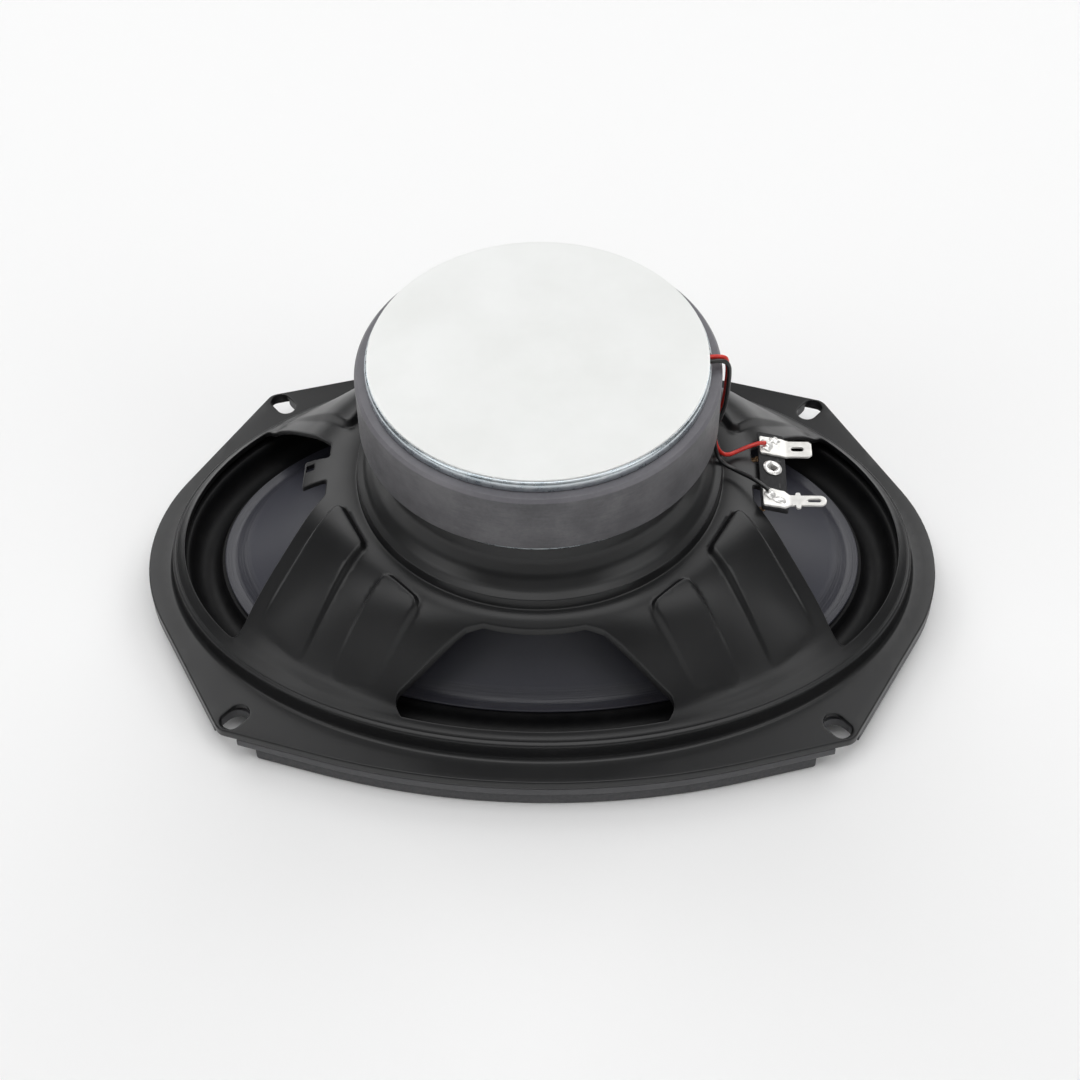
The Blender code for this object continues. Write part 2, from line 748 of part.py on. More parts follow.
def build_terminals(fibre, tin, solder_steel):
    length_x, length_y, thickness = BOARD_SIZE
    centre_x, centre_y, _ = BOARD_CENTRE
    corners = [
        (centre_x + sx * length_x / 2, centre_y + sy * length_y / 2)
        for sx, sy in ((1, 1), (-1, 1), (-1, -1), (1, -1))
    ]
    board = tilted("terminal_board", rounded_path(corners, [0.8] * 4, 2), thickness, -thickness / 2, fibre)
    hole = slot_outline(EYELET_AT, 3.8, 3.8001, 0.0)
    cut(board, prism("board_hole", hole, 40.0, 54.0))
    lift = thickness / 2 + 0.3
    start_x = centre_x - length_x / 2 + 0.7
    bend_x = centre_x + length_x / 2 + 0.3
    wide = tilted(
        "terminal_wide",
        lug_outline(WIDE_LUG_Y, WIDE_LUG_WIDTH, start_x, WIDE_LUG_END, 1.3),
        LUG_SHEET,
        lift,
        tin,
        bend_x,
    )
    cut(wide, prism("wide_slot", slot_outline((WIDE_SLOT_X, WIDE_LUG_Y), *WIDE_SLOT, 0.0), 40.0, 54.0))
    narrow = tilted(
        "terminal_narrow",
        lug_outline(NARROW_LUG_Y, NARROW_LUG_WIDTH, start_x, NARROW_LUG_END, 1.5),
        LUG_SHEET,
        lift,
        tin,
        bend_x,
    )
    outline = slot_outline((NARROW_SLOT_X, NARROW_LUG_Y), *NARROW_SLOT, 0.0)
    cut(narrow, prism("narrow_slot", outline, 40.0, 54.0))
    low, high = NARROW_LUG_Y - 2.8, NARROW_LUG_Y + 2.8
    ear = [(73.4, low), (74.5, low), (74.5, high), (73.4, high)]
    level = BOARD_CENTRE[2] - math.tan(math.radians(BOARD_TILT_DEG)) * (bend_x - centre_x) + lift
    cut(narrow, prism("narrow_ears", ear, level + 0.06, level + LUG_SHEET - 0.06), "UNION")
    # The eyelet clinches the board to the basket's tab: a flange above, a barrel through both.
    top = BOARD_CENTRE[2] + thickness / 2 + 0.3
    eyelet = lathe(
        "terminal_eyelet",
        [(0.8, 0.6), (2.6, 0.6), (2.8, 0.3), (2.8, 0.0), (1.2, 0.0), (1.2, -1.6), (0.8, -1.6)],
        solder_steel,
        20,
    )
    eyelet.rotation_euler = (0.0, math.radians(BOARD_TILT_DEG), 0.0)
    eyelet.location = (EYELET_AT[0] * MM, EYELET_AT[1] * MM, (top + 0.05) * MM)


def build_tweeter(plastic, steel, ferrite, film, copper, brass):
    low, high = POST_Z
    lathe("tweeter_post", [(0.0, high), (POST_R, high), (POST_R, low), (0.0, low)], steel, 24)
    washer = lathe(
        "post_washer",
        [(3.4, WASHER_Z[1]), (WASHER_R, WASHER_Z[1]), (WASHER_R, WASHER_Z[0]), (3.4, WASHER_Z[0])],
        steel,
        32,
    )
    notch = [(3.0, -2.2), (13.0, -2.2), (13.0, 2.2), (3.0, 2.2)]
    cut(washer, prism("washer_notch", notch, 90.0, 94.0))
    across = NUT_FLATS / 2 / math.sqrt(3)
    turns = [math.radians(60 * i) for i in range(6)]
    corners = [(across * math.cos(turn), across * math.sin(turn)) for turn in turns]
    nut = prism("post_nut", corners, *NUT_Z, steel)
    bore = slot_outline((0.0, 0.0), 6.7, 6.7001, 0.0)
    cut(nut, prism("nut_bore", bore, 90.0, 95.0))
    low, high = TWEETER_Z
    radius = TWEETER_R
    housing = lathe(
        "tweeter_housing",
        [
            (3.4, high),
            (radius - 5.0, high),
            (radius - 1.5, high - 3.0),
            (radius, low + 4.0),
            (radius, low + 0.6),
            (radius - 0.6, low),
            (18.0, low),
            (13.2, low + 4.4),
            (13.2, low + 5.4),
            (14.4, low + 5.4),
            (14.4, high - 1.5),
            (3.4, high - 1.5),
        ],
        plastic,
    )
    passage = [(2.0, -1.9), (7.2, -1.9), (7.2, 1.9), (2.0, 1.9)]
    cut(housing, prism("lead_passage", passage, 22.0, 30.0))
    lathe(
        "tweeter_cup",
        [(0.0, 25.2), (14.0, 25.2), (14.0, 16.6), (11.8, 16.6), (11.8, 23.6), (0.0, 23.6)],
        steel,
        36,
    )
    lathe("tweeter_magnet", [(0.0, 23.3), (8.8, 23.3), (8.8, 18.6), (0.0, 18.6)], ferrite, 32)
    lathe("tweeter_pole_plate", [(0.0, 18.3), (9.3, 18.3), (9.3, 16.6), (0.0, 16.6)], steel, 32)
    lathe("tweeter_coil", [(10.0, 19.6), (10.6, 19.6), (10.6, 15.9), (10.0, 15.9)], copper, 32)
    dome = []
    under = []
    for i in range(6):
        turn = math.radians(90 * i / 5)
        dome.append((10.2 * math.sin(turn), 15.5 - 4.0 * math.cos(turn)))
        under.append((9.7 * math.sin(turn), 15.5 - 3.5 * math.cos(turn)))
    rim = [(12.9, 14.95), (12.9, 15.45)]
    profile = under[:5] + [(9.9, 15.45)] + rim[::-1] + [(10.4, 14.95)]
    profile += dome[4:0:-1] + [dome[0]]
    lathe("tweeter_diaphragm", profile, film, 32)


def build_cords(red, black, braid):
    run = [
        (52.2, 90.2),
        (52.3, 87.0),
        (52.2, 80.0),
        (51.9, 75.0),
        (51.1, 71.0),
        (49.9, 67.5),
        (49.5, 64.0),
    ]
    tails = {
        "red": [
            (50.2, 2.0, 60.0),
            (51.6, 2.7, 56.4),
            (53.6, 3.7, 53.2),
            (54.8, 5.1, 50.9),
            (57.2, 6.7, 50.3),
            (60.4, 8.0, 50.6),
            (63.2, 8.9, 51.1),
            (65.6, 9.4, 50.6),
        ],
        "black": [
            (50.0, -0.2, 60.0),
            (51.4, -0.4, 56.4),
            (53.6, -0.6, 53.0),
            (55.0, -1.6, 51.0),
            (57.6, -3.2, 50.2),
            (60.6, -5.2, 50.3),
            (63.2, -7.4, 51.0),
            (65.6, -9.2, 50.6),
        ],
    }
    for name, y, side, material in (("red", 1.9, 0.9, red), ("black", 0.35, -0.9, black)):
        inward = 0.45 if name == "red" else 0.0
        route = [(5.2, side, 25.9), (5.2, side, 34.0), (5.1, side, 50.0)]
        route += [(5.1, side, 68.0), (5.1, side, 84.0)]
        route += [(5.4, side, 90.2), (6.6, side, 91.9), (9.6, side, 92.2)]
        route += [(20.0, side, 92.2), (34.0, side, 92.2)]
        route += [(45.0, side, 92.2), (49.2, (side + y) / 2, 92.1), (51.2, y, 91.6)]
        route += [(radius - inward, y, z) for radius, z in run]
        route += tails[name]
        cord(f"wire_{name}", route, WIRE_R, material)
    for name, end_y, near_y in (("wide", 10.4, 8.0), ("narrow", -9.9, -8.0)):
        route = [
            (66.0, end_y, 45.2),
            (64.6, end_y * 0.99, 43.4),
            (60.0, end_y * 0.97, 41.5),
            (54.0, end_y * 0.93, 42.2),
            (48.0, near_y, 41.6),
            (42.5, near_y, 39.0),
            (39.4, near_y, 37.0),
        ]
        cord(f"tinsel_lead_{name}", route, TINSEL_R, braid)


def main():
    clear_scene()
    paint = make_material("basket_paint", (0.035, 0.035, 0.037), 0.42, 0.3)
    plastic = make_material("trim_plastic", (0.09, 0.09, 0.095), 0.6)
    rubber = make_material("black_rubber", (0.012, 0.012, 0.013), 0.5)
    gasket = make_material("gasket_foam", (0.08, 0.08, 0.085), 0.8)
    paper = make_material("cone_skin", (0.03, 0.03, 0.04), 0.45)
    cloth = make_material("spider_cloth", (0.55, 0.42, 0.12), 0.9)
    zinc = make_material("zinc_plate", (0.55, 0.58, 0.6), 0.32, 1.0)
    ferrite = make_material("ferrite", (0.07, 0.068, 0.075), 0.5)
    steel = make_material("steel", (0.5, 0.5, 0.52), 0.35, 1.0)
    film = make_material("label_film", (0.85, 0.86, 0.84), 0.45)
    copper = make_material("copper_wire", (0.75, 0.33, 0.12), 0.35, 1.0)
    kapton = make_material("former_film", (0.5, 0.3, 0.08), 0.4)
    fibre = make_material("fibre_board", (0.02, 0.02, 0.022), 0.7)
    tin = make_material("tinned_brass", (0.75, 0.75, 0.73), 0.3, 1.0)
    red = make_material("red_insulation", (0.65, 0.03, 0.02), 0.4)
    black = make_material("black_insulation", (0.012, 0.012, 0.013), 0.4)
    braid = make_material("copper_braid", (0.42, 0.25, 0.13), 0.6, 0.8)
    silk = make_material("tweeter_dome_film", (0.05, 0.05, 0.055), 0.5)
    build_basket(paint)
    build_front_trim(plastic, gasket)
    build_surround(rubber)
    build_cone(paper)
    build_spider(cloth)
    build_motor(zinc, ferrite, steel, film, copper, kapton)
    build_terminals(fibre, tin, steel)
    build_tweeter(plastic, steel, ferrite, silk, copper, tin)
    build_cords(red, black, braid)


main()
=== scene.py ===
"""The looks of a 6 x 9 inch coaxial car loudspeaker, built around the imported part.

Shapes are worked out in millimetres and turned into metres as each mesh is made.
"""

import math

import bmesh
import bpy
import numpy as np
from mathutils import Matrix, Vector
from mathutils.geometry import delaunay_2d_cdt


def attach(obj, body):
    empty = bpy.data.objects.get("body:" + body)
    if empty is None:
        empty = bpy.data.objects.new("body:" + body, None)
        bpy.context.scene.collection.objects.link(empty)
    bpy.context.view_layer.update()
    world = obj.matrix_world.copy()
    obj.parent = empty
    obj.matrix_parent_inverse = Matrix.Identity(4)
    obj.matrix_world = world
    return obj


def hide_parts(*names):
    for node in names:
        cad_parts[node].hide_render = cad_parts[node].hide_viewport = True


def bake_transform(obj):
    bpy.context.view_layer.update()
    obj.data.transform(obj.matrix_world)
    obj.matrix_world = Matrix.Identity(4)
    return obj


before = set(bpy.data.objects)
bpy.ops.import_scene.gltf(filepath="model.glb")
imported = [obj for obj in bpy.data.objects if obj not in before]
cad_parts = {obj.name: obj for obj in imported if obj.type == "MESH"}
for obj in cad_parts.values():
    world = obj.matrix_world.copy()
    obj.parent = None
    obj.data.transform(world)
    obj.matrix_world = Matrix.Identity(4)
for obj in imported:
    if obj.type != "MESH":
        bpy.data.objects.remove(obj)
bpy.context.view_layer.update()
MM = 0.001
ROOT, CONE, DOME = "frame", "cone_assembly", "tweeter_dome"

# ---------------------------------------------------------------- dimensions, mm
FLANGE_HALF_LENGTH, FLANGE_HALF_WIDTH = 118.7, 83.5
SIDE_ARC_R, SIDE_ARC_END_DEG = 221.7, 74.0
END_ARC_R, END_ARC_END_DEG = 56.6, 29.2
EAR_ROUND_R = 4.2
EAR_HOLE = (85.2, 62.5)
EAR_SLOT = (6.2, 9.4)
EAR_TURN_DEG = 50.0
TRIM_NOTCH_WIDTH, TRIM_NOTCH_REACH = 8.6, 13.0
FLANGE_Z = 11.0
SHEET = 1.5
TRIM_Z = (4.72, 7.86)
TRIM_OPENING = (106.0, 71.2)
SEGMENT_HALF_LENGTH, SEGMENT_WIDTH = 79.5, 10.0
STEP_OVAL = (110.8, 75.3)
SHELF_OVAL = (110.0, 74.5)
SHELF_Z = 17.0
GROOVE_R, GROOVE_Z = 52.9, 48.8
PANEL_EASE = 1.15
WINDOW_EDGE_Z, EDGE_LIFT_FROM = 19.0, 0.8
SIDE_SWELL, SWELL_FROM, SWELL_PEAK = 3.4, 0.36, 0.74
SWELL_ANGLES = (28.0, 46.0)
PAD_RISE, PAD_EDGE = 2.4, 1.7
PADS = (
    ((56.4, 14.7), (47.9, 30.9), (67.2, 51.6), (79.0, 40.0)),
    ((41.2, 40.2), (31.0, 49.8), (45.0, 60.0), (58.6, 55.8)),
)
WINDOW_OVAL = (106.7, 71.7)
SIDE_WINDOW_TOP, SIDE_WINDOW_TIP = (61.3, 10.2), (86.9, 41.6)
END_WINDOW_TOP, END_WINDOW_TIP = (18.8, 56.2), (39.6, 63.0)
WINDOW_TOP_R = 57.6
TAB_HALF_WIDTH, TAB_ROOT_HALF_WIDTH, TAB_END_X = 5.0, 4.5, 68.7
TAB_HOLE, TAB_HOLE_AT = 2.5, (66.9, 1.9)
CONE_OVAL, CONE_BEND_OVAL = (95.5, 60.3), (91.5, 56.5)
CONE_EDGE_Z, CONE_NECK_Z, CONE_NECK_R = 12.0, 44.0, 18.85
CONE_SKIN = 0.8
ROLL_OVAL, ROLL_DEPTH = (106.0, 70.8), 5.6
LIP_OVAL, LIP_Z = (108.8, 73.3), 14.2
SPIDER_R, SPIDER_Z = (18.85, 50.8), 49.3
BOARD_CENTRE, BOARD_SIZE, BOARD_TILT_DEG = (67.2, 1.0, 47.0), (7.8, 29.4, 1.6), 15.0


# ---------------------------------------------------------------- plane geometry
def oval(axes, angle):
    """Polar radius of an ellipse with these half axes."""
    return 1.0 / np.hypot(np.cos(angle) / axes[0], np.sin(angle) / axes[1])


def grown(axes, by):
    return (axes[0] + by, axes[1] + by)


def ease(value):
    value = np.clip(value, 0.0, 1.0)
    return value * value * (3 - 2 * value)


def flange_radius(angle, inset=0.0):
    """Polar radius of the eared flange outline, drawn in by inset."""
    x, y = abs(math.cos(angle)), abs(math.sin(angle))
    turn = math.atan2(y, x)
    side_angle = math.radians(SIDE_ARC_END_DEG)
    end_angle = math.radians(END_ARC_END_DEG)
    side_y = FLANGE_HALF_WIDTH - SIDE_ARC_R
    end_x = FLANGE_HALF_LENGTH - END_ARC_R
    side_r, end_r = SIDE_ARC_R - inset, END_ARC_R - inset
    ear_r = max(EAR_ROUND_R - inset, 1.0)
    side_line = side_r + side_y * math.sin(side_angle)
    end_line = end_r + end_x * math.cos(end_angle)
    spread = math.sin(side_angle - end_angle)
    reach = (side_line - ear_r, end_line - ear_r)
    ear_x = (reach[1] * math.sin(side_angle) - reach[0] * math.sin(end_angle)) / spread
    ear_y = (reach[0] * math.cos(end_angle) - reach[1] * math.cos(side_angle)) / spread
    joins = (
        (end_x + end_r * math.cos(end_angle), end_r * math.sin(end_angle)),
        (ear_x + ear_r * math.cos(end_angle), ear_y + ear_r * math.sin(end_angle)),
        (ear_x + ear_r * math.cos(side_angle), ear_y + ear_r * math.sin(side_angle)),
        (side_r * math.cos(side_angle), side_y + side_r * math.sin(side_angle)),
    )
    ends = [math.atan2(py, px) for px, py in joins]

    def far_side(cx, cy, radius):
        along = cx * math.cos(turn) + cy * math.sin(turn)
        return along + math.sqrt(max(radius**2 - (cx**2 + cy**2 - along**2), 0.0))

    if turn < ends[0]:
        return far_side(end_x, 0.0, end_r)
    if turn < ends[1]:
        return end_line / math.cos(turn - end_angle)
    if turn < ends[2]:
        return far_side(ear_x, ear_y, ear_r)
    if turn < ends[3]:
        return side_line / math.cos(turn - side_angle)
    return far_side(0.0, side_y, side_r)


def rim_angles(step=1.25):
    """Even steps round the oval, closer where the ears turn."""
    ear = math.degrees(math.atan2(66.5, 89.5))
    quarter = {i * step for i in range(int(90 / step) + 1)}
    quarter = {a for a in quarter if abs(a - ear) > 2.6}
    quarter |= {ear + 0.3 * k for k in range(-8, 9)}
    full = {round(t % 360, 6) for a in quarter for t in (a, 180 - a, 180 + a, 360 - a)}
    return np.radians(sorted(full))


def rounded(corners, radii, steps=6, closed=True):
    """An outline with each corner rounded to its own radius."""
    path = []
    count = len(corners)
    for i, (x, y) in enumerate(corners):
        radius = radii[i] if isinstance(radii, (list, tuple)) else radii
        if radius <= 0 or (not closed and i in (0, count - 1)):
            path.append((x, y))
            continue
        arms = []
        for other in (corners[i - 1], corners[(i + 1) % count]):
            dx, dy = other[0] - x, other[1] - y
            length = math.hypot(dx, dy)
            arms.append((dx / length, dy / length, length))
        dot = arms[0][0] * arms[1][0] + arms[0][1] * arms[1][1]
        half = math.acos(max(-1.0, min(1.0, dot))) / 2
        if half > math.radians(89.0):
            path.append((x, y))
            continue
        back = min(radius / math.tan(half), 0.49 * arms[0][2], 0.49 * arms[1][2])
        radius = back * math.tan(half)
        mid = (arms[0][0] + arms[1][0], arms[0][1] + arms[1][1])
        reach = radius / math.sin(half) / math.hypot(*mid)
        cx, cy = x + mid[0] * reach, y + mid[1] * reach
        start = math.atan2(y + arms[0][1] * back - cy, x + arms[0][0] * back - cx)
        turn = math.atan2(y + arms[1][1] * back - cy, x + arms[1][0] * back - cx) - start
        turn = (turn + math.pi) % (2 * math.pi) - math.pi
        for k in range(steps + 1):
            angle = start + turn * k / steps
            path.append((cx + radius * math.cos(angle), cy + radius * math.sin(angle)))
    return path


def spaced(path, most, closed=True):
    """The same outline with no side longer than most."""
    points = []
    count = len(path)
    for i in range(count if closed else count - 1):
        a, b = np.array(path[i], float), np.array(path[(i + 1) % count], float)
        parts = max(1, int(math.ceil(np.linalg.norm(b - a) / most)))
        for k in range(parts):
            points.append(a + (b - a) * k / parts)
    if not closed:
        points.append(np.array(path[-1], float))
    keep = [points[0]]
    for p in points[1:]:
        if np.linalg.norm(p - keep[-1]) > 1e-4:
            keep.append(p)
    if closed and np.linalg.norm(keep[-1] - keep[0]) < 1e-4:
        keep.pop()
    return np.array(keep)


def resampled(path, count):
    """count points at even lengths along an open line."""
    path = np.array(path, float)
    lengths = np.r_[0, np.cumsum(np.linalg.norm(np.diff(path, axis=0), axis=1))]
    at = np.linspace(0, lengths[-1], count)
    return np.stack([np.interp(at, lengths, path[:, k]) for k in range(path.shape[1])], 1)


def edge_distance(points, loop):
    """Distance from each point to a closed outline, and whether it lies inside."""
    a, b = loop, np.roll(loop, -1, 0)
    d = b - a
    size = np.maximum((d**2).sum(1), 1e-12)
    best = np.full(len(points), 1e9)
    inside = np.zeros(len(points), bool)
    for i in range(len(a)):
        w = points - a[i]
        t = np.clip((w @ d[i]) / size[i], 0, 1)
        best = np.minimum(best, np.hypot(w[:, 0] - t * d[i, 0], w[:, 1] - t * d[i, 1]))
        crosses = (a[i, 1] > points[:, 1]) != (b[i, 1] > points[:, 1])
        if abs(d[i, 1]) > 1e-12:
            x = a[i, 0] + (points[:, 1] - a[i, 1]) * d[i, 0] / d[i, 1]
            inside ^= crosses & (points[:, 0] < x)
    return best, inside


def offset_loop(loop, by):
    """Points beside a closed outline, outside it for a positive offset."""
    area = 0.5 * np.sum(loop[:, 0] * np.roll(loop[:, 1], -1) - np.roll(loop[:, 0], -1) * loop[:, 1])
    tangent = np.roll(loop, -1, 0) - np.roll(loop, 1, 0)
    tangent /= np.maximum(np.linalg.norm(tangent, axis=1), 1e-9)[:, None]
    normal = np.stack([tangent[:, 1], -tangent[:, 0]], 1) * np.sign(area)
    moved = loop + normal * by
    far, _ = edge_distance(moved, loop)
    return moved[far > abs(by) * 0.93]


def slot_loop(centre, width, length, turn, steps=14):
    half = (length - width) / 2
    path = []
    for end in (1, -1):
        for i in range(steps + 1):
            angle = math.pi * i / steps - math.pi / 2
            x = end * (half + width / 2 * math.cos(angle))
            y = end * width / 2 * math.sin(angle)
            path.append(
                (
                    centre[0] + x * math.cos(turn) - y * math.sin(turn),
                    centre[1] + x * math.sin(turn) + y * math.cos(turn),
                )
            )
    return spaced(path, 0.6)


# ---------------------------------------------------------------- mesh helpers
def make_object(name, points, faces, material, body, replaces=(), slot=None, sharp=38.0, blend=None):
    """An object from points in millimetres, riding on its body; given blend, it is only baked in place and
    left unattached.
    """
    mesh = bpy.data.meshes.new(name)
    mesh.from_pydata(np.asarray(points, float) * MM, [], faces)
    mesh.validate()
    mesh.update()
    obj = bpy.data.objects.new(name, mesh)
    bpy.context.scene.collection.objects.link(obj)
    mesh.materials.append(material)
    mesh.shade_smooth()
    if sharp:
        mesh.set_sharp_from_angle(angle=math.radians(sharp))
    if blend is None:
        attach(obj, body)
    else:
        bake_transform(obj)
        np.asarray(blend, np.float32)
    if replaces:
        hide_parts(*([replaces] if isinstance(replaces, str) else replaces))
    return obj


def fix_normals(obj):
    work = bmesh.new()
    work.from_mesh(obj.data)
    bmesh.ops.recalc_face_normals(work, faces=work.faces)
    work.to_mesh(obj.data)
    work.free()


def solid(*call, **options):
    """make_object for a closed mesh, with its faces turned outward."""
    obj = make_object(*call, **options)
    fix_normals(obj)
    return obj


def lathe_mesh(profile, steps=192):
    """Points and faces of a closed (radius, z) outline turned about Z."""
    angles = np.linspace(0, 2 * np.pi, steps, endpoint=False)
    points, rows = [], []
    for radius, z in profile:
        if radius <= 1e-9:
            rows.append([len(points)] * steps)
            points.append((0.0, 0.0, z))
        else:
            rows.append(list(range(len(points), len(points) + steps)))
            points.extend(zip(radius * np.cos(angles), radius * np.sin(angles), [z] * steps))
    faces = []
    count = len(profile)
    closed = profile[0][0] > 1e-9 or profile[-1][0] > 1e-9
    for j in range(count if closed else count - 1):
        a, b = rows[j], rows[(j + 1) % count]
        if a[0] == a[1] and b[0] == b[1]:
            continue
        for i in range(steps):
            k = (i + 1) % steps
            face = [a[i], b[i], b[k], a[k]]
            face = list(dict.fromkeys(face))
            if len(face) > 2:
                faces.append(face)
    return points, faces


def turned(name, corners, radii, material, body=ROOT, steps=192, **kw):
    """A turned piece from a few corners, with rounded edges."""
    profile = rounded(corners, radii, 5)
    points, faces = lathe_mesh(profile, steps)
    obj = make_object(name, points, faces, material, body, **kw)
    fix_normals(obj)
    return obj


def swept_mesh(angles, section):
    """Points and faces of a ring whose (radius, z) loop changes with the angle."""
    loops = np.array([section(float(a)) for a in angles])
    x = loops[:, :, 0] * np.cos(angles)[:, None]
    y = loops[:, :, 0] * np.sin(angles)[:, None]
    points = np.stack([x, y, loops[:, :, 1]], 2).reshape(-1, 3)
    count, steps = loops.shape[1], len(angles)
    faces = []
    for i in range(steps):
        n = (i + 1) % steps
        for j in range(count):
            k = (j + 1) % count
            faces.append((i * count + j, n * count + j, n * count + k, i * count + k))
    return points, faces


def tube_mesh(path, radius, sides=14, caps=True, twist=0.0):
    """A round tube along a line of points. radius may change along it."""
    path = np.asarray(path, float)
    radius = np.broadcast_to(radius, len(path))
    tangent = np.gradient(path, axis=0)
    tangent /= np.linalg.norm(tangent, axis=1)[:, None]
    normal = np.cross(tangent[0], (0.3, 0.2, 1.0))
    normal /= np.linalg.norm(normal)
    points, frames = [], []
    for i in range(len(path)):
        normal = normal - tangent[i] * (normal @ tangent[i])
        normal /= np.linalg.norm(normal)
        side = np.cross(tangent[i], normal)
        frames.append((normal.copy(), side))
        for k in range(sides):
            a = 2 * math.pi * k / sides + twist * i
            points.append(path[i] + radius[i] * (math.cos(a) * normal + math.sin(a) * side))
    faces = []
    for i in range(len(path) - 1):
        for k in range(sides):
            m = (k + 1) % sides
            faces.append((i * sides + k, i * sides + m, (i + 1) * sides + m, (i + 1) * sides + k))
    if caps:
        faces.append(tuple(range(sides - 1, -1, -1)))
        last = (len(path) - 1) * sides
        faces.append(tuple(range(last, last + sides)))
    return points, faces, frames


def smooth_line(route, per=14):
    """A smooth curve through given points."""
    route = [np.array(p, float) for p in route]
    dense = []
    for i in range(len(route) - 1):
        p, q = route[max(i - 1, 0)], route[i]
        r, s = route[i + 1], route[min(i + 2, len(route) - 1)]
        for k in range(per):
            t = k / per
            dense.append(
                0.5
                * (2 * q + (r - p) * t + (2 * p - 5 * q + 4 * r - s) * t * t + (3 * q - p - 3 * r + s) * t**3)
            )
    dense.append(route[-1])
    return np.array(dense)


# ---------------------------------------------------------------- materials
class Material:
    """A Principled material and short calls for its nodes."""

    def __init__(self, name, colour, roughness, metallic=0.0, **sockets):
        self.data = bpy.data.materials.new(name)
        self.data.use_nodes = True
        self.tree = self.data.node_tree
        self.shader = self.tree.nodes["Principled BSDF"]
        values = {"Base Color": (*colour, 1.0), "Roughness": roughness, "Metallic": metallic}
        values.update({key.replace("_", " "): value for key, value in sockets.items()})
        for key, value in values.items():
            self.shader.inputs[key].default_value = value
        self.place = self.tree.nodes.new("ShaderNodeTexCoord").outputs["Object"]
        self.heights = []

    def node(self, kind, **values):
        node = self.tree.nodes.new(kind)
        for key, value in values.items():
            setattr(node, key, value)
        return node

    def link(self, source, target):
        self.tree.links.new(source, target)

    def math(self, operation, a, b=0.0, clamp=False):
        node = self.node("ShaderNodeMath", operation=operation, use_clamp=clamp)
        for socket, value in zip(node.inputs, (a, b)):
            if isinstance(value, (int, float)):
                socket.default_value = value
            else:
                self.link(value, socket)
        return node.outputs[0]

    def stretched(self, scale):
        node = self.node("ShaderNodeMapping")
        node.inputs["Scale"].default_value = scale
        self.link(self.place, node.inputs["Vector"])
        return node.outputs[0]

    def noise(self, scale, detail=3.0, rough=0.55, stretch=None, at=None):
        node = self.node("ShaderNodeTexNoise")
        node.inputs["Scale"].default_value = scale
        node.inputs["Detail"].default_value = detail
        node.inputs["Roughness"].default_value = rough
        source = at if at is not None else (self.stretched(stretch) if stretch else self.place)
        self.link(source, node.inputs["Vector"])
        return node.outputs["Fac"]

    def voronoi(self, scale, feature="F1", stretch=None):
        node = self.node("ShaderNodeTexVoronoi", feature=feature)
        node.inputs["Scale"].default_value = scale
        self.link(self.stretched(stretch) if stretch else self.place, node.inputs["Vector"])
        return node.outputs["Distance"]

    def ramp(self, fac, *stops):
        """Colour stops: (place, colour or value)."""
        node = self.node("ShaderNodeValToRGB")
        line = node.color_ramp
        while len(line.elements) < len(stops):
            line.elements.new(0.5)
        for element, (where, colour) in zip(line.elements, stops):
            element.position = where
            element.color = (*colour, 1.0) if isinstance(colour, tuple) else (colour, colour, colour, 1.0)
        self.link(fac, node.inputs["Fac"])
        return node.outputs["Color"]

    def spread(self, fac, low, high, out_low=0.0, out_high=1.0):
        node = self.node("ShaderNodeMapRange", clamp=True)
        self.link(fac, node.inputs["Value"])
        for key, value in zip(("From Min", "From Max", "To Min", "To Max"), (low, high, out_low, out_high)):
            node.inputs[key].default_value = value
        return node.outputs[0]

    def mix(self, fac, a, b):
        node = self.node("ShaderNodeMix", data_type="RGBA")
        if isinstance(fac, (int, float)):
            node.inputs[0].default_value = fac
        else:
            self.link(fac, node.inputs[0])
        for socket, value in ((node.inputs[6], a), (node.inputs[7], b)):
            if isinstance(value, tuple):
                socket.default_value = (*value, 1.0)
            else:
                self.link(value, socket)
        return node.outputs[2]

    def colour(self, source):
        self.link(source, self.shader.inputs["Base Color"])
        return self

    def rough(self, source):
        self.link(source, self.shader.inputs["Roughness"])
        return self

    def tint(self, source, low, high):
        """Colour that runs from low to high over the middle of the source."""
        return self.colour(self.ramp(source, (0.3, low), (0.7, high)))

    def gloss(self, source, low, high):
        """Roughness that runs from low to high over the middle of the source."""
        return self.rough(self.spread(source, 0.3, 0.7, low, high))

    def bump(self, height, distance, strength=1.0):
        node = self.node("ShaderNodeBump")
        node.inputs["Strength"].default_value = strength
        node.inputs["Distance"].default_value = distance
        self.link(height, node.inputs["Height"])
        if self.heights:
            self.link(self.heights[-1], node.inputs["Normal"])
        self.heights.append(node.outputs[0])
        self.link(node.outputs[0], self.shader.inputs["Normal"])
        return self

    def xyz(self):
        node = self.node("ShaderNodeSeparateXYZ")
        self.link(self.place, node.inputs[0])
        return node.outputs

    def radius(self, axes=(1.0, 1.0)):
        """Distance from the Z axis, in ovals of these half axes (metres)."""
        x, y, _ = self.xyz()
        x = self.math("DIVIDE", x, axes[0])
        y = self.math("DIVIDE", y, axes[1])
        return self.math("SQRT", self.math("ADD", self.math("MULTIPLY", x, x), self.math("MULTIPLY", y, y)))


def paint_material():
    """Satin powder coat with fine orange peel."""
    m = Material("looks_basket_paint", (0.0092, 0.0093, 0.0099), 0.32, Specular_IOR_Level=0.42)
    cloud = m.noise(38, 4)
    m.tint(cloud, (0.0078, 0.0079, 0.0084), (0.0108, 0.0109, 0.0115))
    m.gloss(m.noise(60, 5), 0.30, 0.37)
    m.bump(m.noise(2600, 2), 0.00002, 0.35)
    m.bump(m.noise(420, 3), 0.00005, 0.16)
    return m.data


